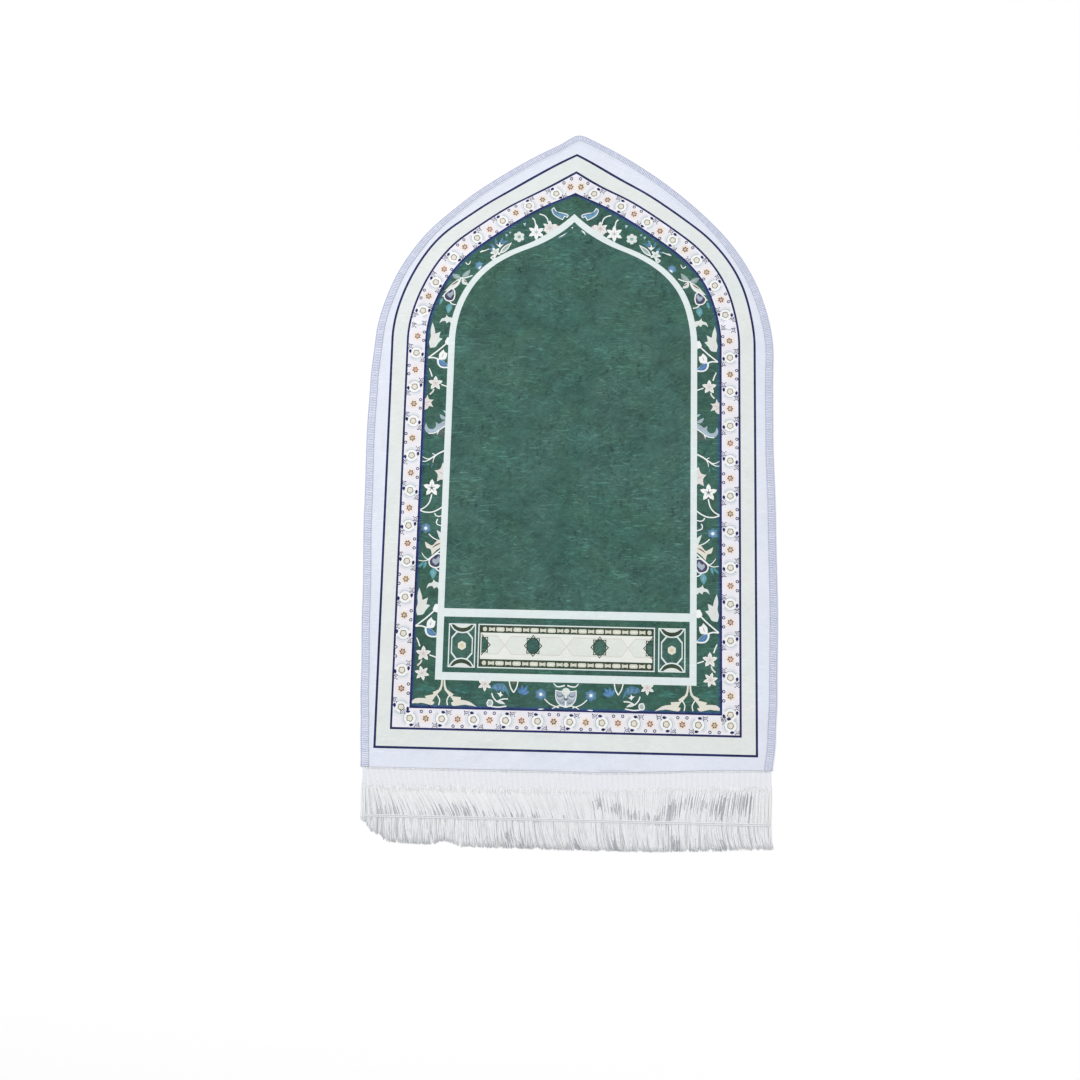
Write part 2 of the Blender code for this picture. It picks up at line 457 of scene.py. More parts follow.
@dataclass
class Drawing:
    """The print: inked shapes in millimetres, each laid over those before it."""

    nudges: tuple[Nudge, ...] = (
        Nudge(0, 925, 85, 60, -2.0, 0),
        Nudge(0, 957, 85, 30, 0, -6.8),
        Nudge(0, 1010, 60, 25, 0, 0.4),
        Nudge(0, 898, 60, 45, 0, -2.0),
        Nudge(110, 950, 50, 30, 0.5, 1.0),
        Nudge(-250, 790, 130, 85, 3.7, 0),
        Nudge(-268, 785, 80, 100, 1.0, -0.8),
        Nudge(-190, 915, 65, 45, 0, -2.8),
        Nudge(-100, 945, 60, 26, 0, -2.6),
        Nudge(-300, 20, 150, 75, 3.3, 0),
        Nudge(-300, 190, 60, 130, -1.4, 0),
        Nudge(260, 735, 110, 45, -2.2, 0),
        Nudge(300, 400, 45, 300, 1.1, 0),
        Nudge(250, 620, 130, 330, 0, 5.0),
    )
    inks: list[Ink] = field(default_factory=list)
    shapes: list[Line] = field(default_factory=list)

    def add(self, ink: Ink, outline: Line) -> None:
        """Lay one more inked shape over the print.

        Args:
            ink: Its ink.
            outline: Its closed outline, in either direction.
        """
        placed = [point + sum(nudge.shift(point) for nudge in self.nudges) for point in outline]
        self.inks.append(ink)
        self.shapes.append(placed if area_of(placed) > 0 else placed[::-1])


@dataclass(frozen=True)
class Pen:
    """Draws shapes on the print from a place, turned and sized, on either half."""

    drawing: Drawing
    origin: complex = 0j
    factor: complex = 1 + 0j
    mirrored: bool = False

    def at(self, x: float, y: float, turn: float = 0.0, size: float = 1.0) -> "Pen":
        """Take the pen to another place.

        Args:
            x: Place to the right, in this pen's own measure.
            y: Place upward, in this pen's own measure.
            turn: Turn to the left, in degrees.
            size: Size of what is drawn there.

        Returns:
            The pen at that place.
        """
        factor = self.factor * cmath.rect(size, math.radians(turn))
        return Pen(self.drawing, self.origin + self.factor * complex(x, y), factor, self.mirrored)

    @property
    def halves(self) -> tuple["Pen", "Pen"]:
        """This pen, and the same pen on the other half of the print."""
        return self, Pen(self.drawing, self.origin, self.factor, not self.mirrored)

    def fill(self, ink: Ink, outline: Line) -> None:
        """Fill a closed outline.

        Args:
            ink: Its ink.
            outline: Its points, in this pen's own measure.
        """
        placed = [self.origin + self.factor * point for point in outline]
        if self.mirrored:
            placed = flipped(placed)
        self.drawing.add(ink, placed)

    def rectangle(self, ink: Ink, left: float, low: float, right: float, high: float) -> None:
        """Fill an upright rectangle between its edges."""
        self.fill(ink, points_of((left, low, right, low, right, high, left, high)))

    def octagon(self, ink: Ink, side: complex, top: complex) -> None:
        """Fill an octagon from the corners of its upper right quarter, the lower one first."""
        upper = [side, top] + flipped([top, side])
        self.fill(ink, upper + [point.conjugate() for point in upper[::-1]])

    def disc(self, ink: Ink, centre: complex, wide: float, high: float = 0.0,
             sides: int = 12) -> None:
        """Fill a round or oval spot.

        Args:
            ink: Its ink.
            centre: Its middle.
            wide: Its reach to each side.
            high: Its reach up and down, the same as wide if left out.
            sides: Number of its sides.
        """
        tall = high or wide
        ring = []
        for index in range(sides):
            angle = math.tau * (index + 0.5) / sides
            ring.append(centre + complex(wide * math.cos(angle), tall * math.sin(angle)))
        self.fill(ink, ring)

    def arc(self, ink: Ink, radius: float, turns: Sequence[int], width: float,
            end_width: float) -> None:
        """Draw an arc round the pen's place.

        Args:
            ink: Its ink.
            radius: Its radius, below 0 for the far side.
            turns: Directions that it passes, in degrees.
            width: Its width at its start.
            end_width: Its width at its end.
        """
        line = [cmath.rect(radius, math.radians(turn)) for turn in turns]
        self.fill(ink, ribbon(line, width, end_width))

    def stroke(self, ink: Ink, along: Line, width: float, end_width: float = 0.0,
               steps: int = 4) -> None:
        """Draw a smooth stroke.

        Args:
            ink: Its ink.
            along: Points that its middle passes.
            width: Its width at its start.
            end_width: Its width at its end, the same as width if left out.
            steps: Steps between two points, or 1 for straight runs.
        """
        line = smooth(along, steps) if steps > 1 else along
        self.fill(ink, ribbon(line, width, end_width or width))

    def leaf(self, ink: Ink, base: complex, tip: complex, width: float, bend: float = 0.0,
             fullest: float = 0.42, steps: int = 7) -> None:
        """Fill a leaf, petal or brush stroke with two pointed ends.

        Args:
            ink: Its ink.
            base: Its base.
            tip: Its tip.
            width: Its greatest width.
            bend: How far its middle bows to the left, as a share of its length.
            fullest: Share of its length where it is widest.
            steps: Steps along each of its sides.
        """
        along = tip - base
        power = math.log(0.5) / math.log(fullest)
        left, right = [], []
        for step in range(1, steps):
            share = step / steps
            middle = base + along * (share + 4j * bend * share * (1.0 - share))
            reach = along / abs(along) * 1j * width / 2 * math.sin(math.pi * share ** power)
            left.append(middle + reach)
            right.append(middle - reach)
        self.fill(ink, [base] + right + [tip] + left[::-1])

    def bloom(self, ink: Ink, centre: complex, radius: float, petals: int, turn: float = 90.0,
              valley: float = 0.42, shoulder: float = 0.66) -> None:
        """Fill a flower seen from above.

        Args:
            ink: Its ink.
            centre: Its middle.
            radius: Its reach to a petal's tip.
            petals: Number of petals.
            turn: Direction of the first petal, in degrees.
            valley: Reach between two petals, as a share of the radius.
            shoulder: Reach half way up a petal's side, as a share of the radius.
        """
        outline = []
        for index in range(petals):
            for place, reach in ((-1.0, valley), (-0.5, shoulder), (0.0, 1.0), (0.5, shoulder)):
                angle = math.radians(turn) + math.pi * (2 * index + place) / petals
                outline.append(centre + cmath.rect(radius * reach, angle))
        self.fill(ink, outline)


# ----- Motifs of the print -----


@dataclass(frozen=True)
class Stem:
    """A stroke of the brush."""

    width: float
    along: tuple[float, ...]
    end_width: float = 0.0
    ink: Ink = Ink.WHITE

    def draw(self, pen: Pen) -> None:
        """Draw the stroke."""
        pen.stroke(self.ink, points_of(self.along), self.width, self.end_width)


@dataclass(frozen=True)
class Patch:
    """A rounded or pointed shape, with a line round it if it has an edge ink."""

    ink: Ink
    around: tuple[float, ...]
    edge: Ink | None = None
    line: float = 1.3

    def draw(self, pen: Pen) -> None:
        """Fill the shape.

        Args:
            pen: The pen of the half that it is on.
        """
        outline = smooth(points_of(self.around), 3, closed=True)
        if self.edge:
            if area_of(outline) < 0:
                outline.reverse()
            pen.fill(self.edge, outline)
            outline = drawn_in(outline, self.line)
        pen.fill(self.ink, outline)


@dataclass(frozen=True)
class Petal:
    """A leaf or petal between its base and its tip, edged if it has an edge ink."""

    ink: Ink
    ends: tuple[float, float, float, float]
    width: float
    bend: float = 0.0
    edge: Ink | None = None
    end_gap: float = 0.13
    line: float = 1.4

    def draw(self, pen: Pen) -> None:
        """Fill the petal.

        Args:
            pen: The pen of the half that it is on.
        """
        base, tip = points_of(self.ends)
        width, bend = self.width, self.bend
        if self.edge:
            pen.leaf(self.edge, base, tip, width, bend)
            gap = (tip - base) * self.end_gap
            base, tip = base + gap, tip - gap
            width, bend = width - 2.0 * self.line, bend * 0.9
        pen.leaf(self.ink, base, tip, width, bend)


@dataclass(frozen=True)
class Lily:
    """A lily seen from above, with a small star at its heart."""

    ink: Ink
    x: float
    y: float
    radius: float
    petals: int = 6
    turn: float = 90.0
    heart: Ink = Ink.ROSE
    rim: Ink = Ink.WHITE

    def draw(self, pen: Pen) -> None:
        """Fill the flower, its inside and its heart.

        Args:
            pen: The pen of the half that it is on.
        """
        centre = complex(self.x, self.y)
        pen.bloom(self.rim, centre, self.radius, self.petals, self.turn, 0.46, 0.72)
        pen.bloom(self.ink, centre, self.radius * 0.8, self.petals, self.turn, 0.45, 0.68)
        pen.bloom(self.heart, centre, self.radius * 0.5, self.petals, self.turn, 0.2, 0.3)


@dataclass(frozen=True)
class Rosette:
    """A small flower with rounded petals and a round heart."""

    ink: Ink
    x: float
    y: float
    radius: float
    heart: Ink
    heart_radius: float

    def draw(self, pen: Pen) -> None:
        """Fill the flower and its heart.

        Args:
            pen: The pen of the half that it is on.
        """
        centre = complex(self.x, self.y)
        pen.bloom(self.ink, centre, self.radius, 6, 90.0, 0.74, 0.95)
        pen.disc(self.heart, centre, self.heart_radius, sides=10)


Motif = Stem | Patch | Petal | Lily | Rosette


# ----- The print: lines, chain border, mihrab, foot panel -----


@dataclass(frozen=True)
class PrintArch:
    """The print's own arch, worked out for its outermost line and drawn in for the others."""

    half_width: float = 297.4
    springing: float = 688.0
    shoulder_radius: float = 251.6
    shoulder_turn: float = math.radians(51.7)
    upper_radius: float = 1131.7
    shoulder_steps: int = 26
    upper_steps: int = 20

    def half(self, inset: float, foot: float) -> Line:
        """Work out one half of a line of the print.

        Args:
            inset: How far the line lies inside the outermost one.
            foot: Height of the line's level foot.

        Returns:
            Points from the foot's right end to the apex.
        """
        shoulder = complex(self.half_width - self.shoulder_radius, self.springing)
        reach = self.shoulder_radius - self.upper_radius
        upper = shoulder + cmath.rect(reach, self.shoulder_turn)
        apex_turn = math.acos(-upper.real / (self.upper_radius - inset))
        points = [complex(self.half_width - inset, foot)]
        for step in range(self.shoulder_steps):
            angle = self.shoulder_turn * step / self.shoulder_steps
            points.append(shoulder + cmath.rect(self.shoulder_radius - inset, angle))
        for step in range(self.upper_steps + 1):
            share = step / self.upper_steps
            angle = self.shoulder_turn + (apex_turn - self.shoulder_turn) * share
            points.append(upper + cmath.rect(self.upper_radius - inset, angle))
        return points

    def closed(self, inset: float, foot: float) -> Line:
        """The whole line, closed along its foot."""
        return whole(self.half(inset, foot))


@dataclass(frozen=True)
class PrintedLine:
    """One closed line of the print, with the ground inside it."""

    inset: float
    foot: float
    width: float
    line: Ink
    ground: Ink


@dataclass
class EdgeLines:
    """The navy lines that follow the rug's edge, and the pale bands between them."""

    arch: PrintArch
    lines: tuple[PrintedLine, ...] = (
        PrintedLine(0.0, 30.0, 3.6, Ink.NAVY, Ink.MINT),
        PrintedLine(25.1, 59.2, 3.4, Ink.NAVY, Ink.EDGE_WHITE),
        PrintedLine(27.9, 61.9, 0.4, Ink.EDGE_WHITE, Ink.CHAIN),
        PrintedLine(52.6, 89.6, 1.6, Ink.EDGE_WHITE, Ink.EDGE_WHITE),
        PrintedLine(55.1, 91.9, 3.1, Ink.NAVY, Ink.NAVY_FADE),
        PrintedLine(57.5, 94.3, 0.8, Ink.NAVY_FADE, Ink.SPRUCE_FADE),
        PrintedLine(59.2, 96.0, 0.8, Ink.SPRUCE_FADE, Ink.BORDER),
    )

    inner_lines: tuple[tuple[float, float, Ink], ...] = (
        (57.0, 1.0, Ink.NAVY_FADE), (55.1, 3.1, Ink.NAVY),
    )
    inner_foot: float = 97.0

    def draw(self, pen: Pen) -> None:
        """Draw the lines and their grounds, from the outermost in.

        Args:
            pen: A pen at the foot of the print's axis.
        """
        for row in self.lines:
            half = row.width / 2
            pen.fill(row.line, self.arch.closed(row.inset - half, row.foot - half))
            pen.fill(row.ground, self.arch.closed(row.inset + half, row.foot + half))

    def draw_inner_line(self, pen: Pen) -> None:
        """Draw the innermost line once more over the flowers that it cuts.

        Args:
            pen: A pen at the foot of the print's axis.
        """
        for half in pen.halves:
            for inset, width, ink in self.inner_lines:
                line = self.arch.half(inset, self.inner_foot)
                half.fill(ink, ribbon(line, width, width))


@dataclass
class ChainBorder:
    """The narrow border of alternating small flowers between two of the navy lines."""

    arch: PrintArch
    inset: float = 40.75
    foot: float = 75.0
    spacing: tuple[tuple[float, float, float], ...] = ((9.8, 25.5, 0.07), (10.0, 26.55, -0.008))
    arch_count: int = 14
    side_top: float = 690.4
    side_low: float = 91.6
    side_count: int = 22
    foot_start: float = -243.2
    foot_step: float = 25.0
    foot_count: int = 20
    rust_turns: tuple[float, ...] = (90.0, 64.0, 110.0, 80.0, 98.0)
    rings: tuple[tuple[float, float], ...] = ((-7.0, 10.6), (7.2, 10.6))
    curl: tuple[float, ...] = (-2.6, -3.4, -3.0, 0.4, 0.0, 2.6, 2.6, 0.8, 1.2, -1.2)
    curl_dots: tuple[tuple[complex, float], ...] = (
        (-0.6 - 0.6j, 1.1), (3.2 - 2.6j, 1.1), (-3.6 + 2.9j, 1.2), (3.4 + 3.2j, 1.0),
    )

    def draw(self, pen: Pen) -> None:
        """Draw every flower of the border, up both sides, over the arch and along the foot.

        Args:
            pen: A pen at the foot of the print's axis.
        """
        for half in pen.halves:
            self.draw_arch(half)
            self.draw_side(half)
        for index in range(self.foot_count + 1):
            place = pen.at(self.foot_start + self.foot_step * index, self.foot)
            self.draw_flower(place, index + 2 * (index % 2), index % 2 == 1)

    def draw_arch(self, pen: Pen) -> None:
        """Draw the flowers over one half of the arch, from its apex down.

        Args:
            pen: A pen at the foot of the print's axis.
        """
        path = self.arch.half(self.inset, self.foot)[::-1]
        gap, pitch, spread = self.spacing[pen.mirrored]
        for index in range(self.arch_count):
            remaining = gap + pitch * index + spread * index * index
            step = 0
            while remaining > abs(path[step + 1] - path[step]):
                remaining -= abs(path[step + 1] - path[step])
                step += 1
            along = path[step + 1] - path[step]
            point = path[step] + along / abs(along) * remaining
            turn = math.degrees(cmath.phase(along))
            number = index + 1 if index % 2 else index + 3
            self.draw_flower(pen.at(point.real, point.imag, turn), number, index % 2 == 0)

    def draw_side(self, pen: Pen) -> None:
        """Draw the flowers down one straight side.

        Args:
            pen: A pen at the foot of the print's axis.
        """
        step = (self.side_top - self.side_low) / (self.side_count - 1)
        middle = self.arch.half_width - self.inset
        self.draw_join(pen.at(middle, self.side_top + step, -90.0))
        for index in range(self.side_count):
            place = pen.at(middle, self.side_top - step * index, -90.0)
            self.draw_flower(place, index + 3 if index % 2 else index + 1, index % 2 == 0)

    def draw_join(self, pen: Pen) -> None:
        """Draw the pale disc that fills the chain where the arch and the side meet.

        Args:
            pen: A pen at its middle, turned down the side.
        """
        pen.disc(Ink.EDGE_WHITE, 0j, 7.6, sides=16)
        pen.arc(Ink.ARC, 9.6, range(-70, 71, 20), 2.0, 1.0)
        self.draw_curl(pen.at(10.0, 7.0))
        self.draw_curl(pen.at(6.0, -9.0, 0.0, -1.0))

    def draw_flower(self, pen: Pen, index: int, is_rust: bool) -> None:
        """Draw one flower of the chain with what stands beside it.

        Args:
            pen: A pen at the flower's middle, turned along the chain.
            index: The flower's number in its run.
            is_rust: True for a rust flower, False for a ringed cream one.
        """
        side = 1.0 if index // 2 % 2 else -1.0
        if is_rust:
            self.draw_rust_flower(pen, index, side)
        else:
            self.draw_ringed_flower(pen, side)

    def draw_rust_flower(self, pen: Pen, index: int, side: float) -> None:
        """Draw a rust rosette in its pale glow, and the two small rings beside it.

        Args:
            pen: A pen at the flower's middle, turned along the chain.
            index: The flower's number in its run.
            side: 1 if the rings stand to the left of the chain's direction, else -1.
        """
        ink = Ink.OCHRE if (index + pen.mirrored) % 5 % 2 else Ink.RUST
        pen.disc(Ink.PEACH, 0j, 8.0, sides=14)
        petals = 5 + index % 2
        turn = self.rust_turns[index % len(self.rust_turns)]
        pen.bloom(ink, 0j, 5.2, petals, turn, valley=0.6, shoulder=0.92)
        pen.disc(Ink.PEACH, 0j, 2.0, sides=8)
        pen.disc(ink, 0j, 1.1, sides=6)
        for along, across in self.rings:
            spot = complex(along, side * across)
            pen.disc(Ink.RING_GREY, spot, 2.7, sides=10)
            pen.disc(Ink.CHAIN, spot, 1.25, sides=8)

    def draw_ringed_flower(self, pen: Pen, side: float) -> None:
        """Draw a ringed cream flower on its white disc, with its leaf marks and curls.

        Args:
            pen: A pen at the flower's middle, turned along the chain.
            side: Which way each leaf mark is shifted, 1 or -1.
        """
        pen.disc(Ink.WHITE, 0j, 9.4, sides=18)
        pen.bloom(Ink.RING_BROWN, 0j, 5.6, 5, 70.0, valley=0.86, shoulder=0.97)
        pen.bloom(Ink.CREAM, 0j, 4.2, 5, 70.0, valley=0.84, shoulder=0.96)
        turns = range(-60, 61, 20)[::round(side)]
        for over in (-1.0, 1.0):
            pen.arc(Ink.ARC, over * 10.2, turns, 2.2, 1.1)
            pen.arc(Ink.ARC_PALE, over * 12.9, turns, 1.4, 0.7)
            shift = over * side * 2.6
            base, tip = complex(shift - 3.7, over * 10.6), complex(shift + 3.7, over * 9.8)
            pen.leaf(Ink.NAVY, base, tip, 4.6)
            self.draw_curl(pen.at(over * side * 11.0, over * 9.6, 0.0, over))

    def draw_curl(self, pen: Pen) -> None:
        """Draw the dotted curl between two flowers.

        Args:
            pen: A pen at the curl's middle.
        """
        pen.stroke(Ink.RING_GREY, points_of(self.curl), 1.3, 1.0, steps=3)
        for spot, radius in self.curl_dots:
            pen.disc(Ink.PLUM, spot, radius, sides=6)


@dataclass
class Mihrab:
    """The white frame with its pointed ogee arch, and the plain green field inside it."""

    outer_side: float = 204.5
    inner_side: float = 194.0
    outer_tip: float = 910.6
    inner_tip: float = 896.0
    foot: float = 135.0
    field_foot: float = 246.7
    curve_foot: float = 685.0
    outer_shoulder: complex = 86 + 851j
    inner_shoulder: complex = 76 + 846j
    shoulder_slope: complex = cmath.rect(1.0, math.radians(-21.0))
    spring_pull: complex = 92j
    shoulder_pulls: tuple[float, float] = (71.0, 33.0)
    tip_pull: complex = cmath.rect(24.0, math.radians(-47.0))
    slips: tuple[Motif, ...] = (
        Petal(Ink.SOFT_BLUE, (-29.0, 865.0, -8.0, 880.5), 3.2, -0.05),
        Petal(Ink.WHITE, (-27.0, 867.5, -13.0, 876.5), 1.6, -0.06),
        Petal(Ink.WHITE, (11.0, 881.0, 18.5, 872.0), 2.2, 0.1),
    )

    def ogee(self, side: float, shoulder: complex, tip: float, foot: float) -> Line:
        """Outline the arch: a round shoulder that turns over into a hollow rise to the tip.

        Args:
            side: Half width between the straight sides.
            shoulder: Where the round shoulder turns into the hollow rise.
            tip: Height of the arch's tip.
            foot: Height of the level foot.

        Returns:
            A closed outline, from the foot's right end.
        """
        spring = complex(side, self.curve_foot)
        before, after = [self.shoulder_slope * pull for pull in self.shoulder_pulls]
        half = [complex(side, foot)]
        half += bezier(spring, spring + self.spring_pull, shoulder + before, shoulder, 26)
        half += bezier(shoulder, shoulder - after, tip * 1j + self.tip_pull, tip * 1j, 12)[1:]
        return whole(half)

    def draw(self, pen: Pen) -> None:
        """Draw the frame, the field and the small slips of the print at the tip.

        Args:
            pen: A pen at the foot of the print's axis.
        """
        outer = self.ogee(self.outer_side, self.outer_shoulder, self.outer_tip, self.foot)
        pen.fill(Ink.FRAME, outer)
        inner = self.ogee(self.inner_side, self.inner_shoulder, self.inner_tip, self.field_foot)
        pen.fill(Ink.FIELD, inner)
        for slip in self.slips:
            slip.draw(pen)
        pen.disc(Ink.WHITE, -3.5 + 885.5j, 1.4, sides=6)


@dataclass
class FootPanel:
    """The panel under the field: two framed medallions and a long inlaid strip between them."""

    bar_side: float = 193.5
    low: float = 147.0
    high: float = 233.7
    medallion_at: complex = 165.6 + 189j
    strip_half: float = 139.0
    row_heights: tuple[float, float] = (162.8, 215.5)
    star_places: tuple[float, ...] = (-52.3, 52.3)
    crossings: tuple[float, ...] = (-97.0, 0.0, 97.0)
    middle: float = 191.0
    strip_inset: float = 4.0
    strip: tuple[tuple[Ink, float, float, float], ...] = (
        (Ink.FRAME, 0.0, 154.8, 223.5), (Ink.OLIVE, 1.8, 156.6, 221.7), (Ink.PANEL, 4.0, 168.8, 209.9),
    )
    slant: complex = 11 + 14j
    star: tuple[tuple[Ink, float, float, float], ...] = (
        (Ink.OLIVE, 14.7, 17.4, 0.74),
        (Ink.WHITE, 12.5, 15.0, 0.76),
        (Ink.OLIVE, 11.0, 13.4, 0.93),
        (Ink.FIELD, 9.4, 11.7, 0.93),
    )
    tie_places: tuple[float, ...] = (11.7, 38.55, 65.4, 92.25, 119.1)
    bead_places: tuple[float, ...] = (25.1, 52.0, 78.9, 105.8)
    end_bead: float = 130.2

    def draw(self, pen: Pen) -> None:
        """Draw the panel.

        Args:
            pen: A pen at the foot of the print's axis.
        """
        pen.rectangle(Ink.BORDER, -self.bar_side, self.low, self.bar_side, self.high)
        for half in pen.halves:
            self.draw_medallion(half.at(self.medallion_at.real, self.medallion_at.imag))
        self.draw_strip(pen)
        for height in self.row_heights:
            self.draw_row(pen.at(0.0, height))

    def draw_medallion(self, pen: Pen) -> None:
        """Draw a framed medallion.

        Args:
            pen: A pen at its middle.
        """
        pen.rectangle(Ink.FRAME, -21.4, -34.2, 21.4, 34.2)
        pen.rectangle(Ink.BORDER, -19.6, -32.2, 19.6, 32.2)
        pen.octagon(Ink.FRAME, 17 + 12.5j, 9.5 + 21.5j)
        pen.octagon(Ink.FIELD, 15.3 + 10.7j, 7.8 + 19.7j)
        for over in (pen, pen.at(0.0, 0.0, 180.0)):
            arc = points_of((-18.8, 32.6, -12.0, 23.8, 0.0, 20.0, 12.0, 23.8, 18.8, 32.6))
            over.fill(Ink.OLIVE, smooth(arc, 4))
            over.stroke(Ink.FRAME, arc, 2.0)
            lens = points_of((-14.8, 33.4, -7.5, 28.8, 0.0, 27.4, 7.5, 28.8, 14.8, 33.4))
            over.fill(Ink.SHELL, smooth(lens, 3))
        hexagon = [cmath.rect(7.2, math.radians(30.0 + 60.0 * n)) for n in range(6)]
        pen.fill(Ink.CREAM, hexagon)
        pen.disc(Ink.SAND, 0j, 3.2, 3.6, sides=8)

    def draw_strip(self, pen: Pen) -> None:
        """Draw the long strip: its white ground, faint cartouches and stars.

        Args:
            pen: A pen at the foot of the print's axis.
        """
        for ink, inset, low, high in self.strip:
            end = self.strip_half - inset
            pen.rectangle(ink, -end, low, end, high)
        end = self.strip_half - self.strip_inset
        ends = (-end,) + self.crossings + (end,)
        for left, right in zip(ends, ends[1:]):
            self.draw_cartouche(pen.at(0.0, self.middle), left, right)
        for place in self.star_places:
            self.draw_star(pen.at(place, self.middle), whole_star=True)
        for half in pen.halves:
            self.draw_star(half.at(end, self.middle), whole_star=False)

    def draw_cartouche(self, pen: Pen, left: float, right: float) -> None:
        """Draw one faint long cartouche between two crossings, or up to the strip's end.

        Args:
            pen: A pen at the strip's middle.
            left: Its left end.
            right: Its right end.
        """
        slant, high = self.slant, self.slant.imag * 1j
        start = [left + 0j, left + slant] if left in self.crossings else [left + high]
        end = [right - slant.conjugate(), right + 0j] if right in self.crossings else [right + high]
        top = start + end
        foot = [point.conjugate() for point in top[::-1]]
        pen.fill(Ink.PANEL_LOW, top + [point for point in foot if point not in top])
        for line in (top, foot):
            pen.stroke(Ink.GHOST, line, 1.5, steps=1)

    def draw_star(self, pen: Pen, whole_star: bool) -> None:
        """Draw an eight-pointed star in its ring of small pale triangles.

        Args:
            pen: A pen at its middle.
            whole_star: False for the half star at the strip's end.
        """
        for ink, wide, high, valley in self.star:
            outline = []
            for index in range(16):
                reach = valley if index % 2 else 1.0
                spot = cmath.rect(reach, math.pi / 2 + math.tau * index / 16)
                if whole_star or spot.real * wide <= 0.01:
                    outline.append(complex(spot.real * wide, spot.imag * high))
            pen.fill(ink, outline)

    def draw_row(self, pen: Pen) -> None:
        """Draw a row of cream inlay: cartouches and bow ties either side of a round bead.

        Args:
            pen: A pen at the row's middle.
        """
        pen.disc(Ink.BEAD, 0j, 4.2, 3.4, sides=12)
        tie = points_of((-4.8, 3.1, 0.0, 1.9, 4.8, 3.1, 4.8, -3.1, 0.0, -1.9, -4.8, -3.1))
        for half in pen.halves:
            for place in self.tie_places:
                half.at(place, 0.0).fill(Ink.BEAD, tie)
            for place in self.bead_places:
                bead = half.at(place, 0.0)
                bead.octagon(Ink.BEAD, 6.6 + 1.6j, 5 + 3.3j)
                bead.leaf(Ink.PANEL, -4.6 + 0j, 4.6 + 0j, 2.6, fullest=0.5)
            half.at(self.end_bead, 0.0).octagon(Ink.BEAD, 3.2 + 1.6j, 1.6 + 3.3j)


# ----- The print: flowers of the green border -----


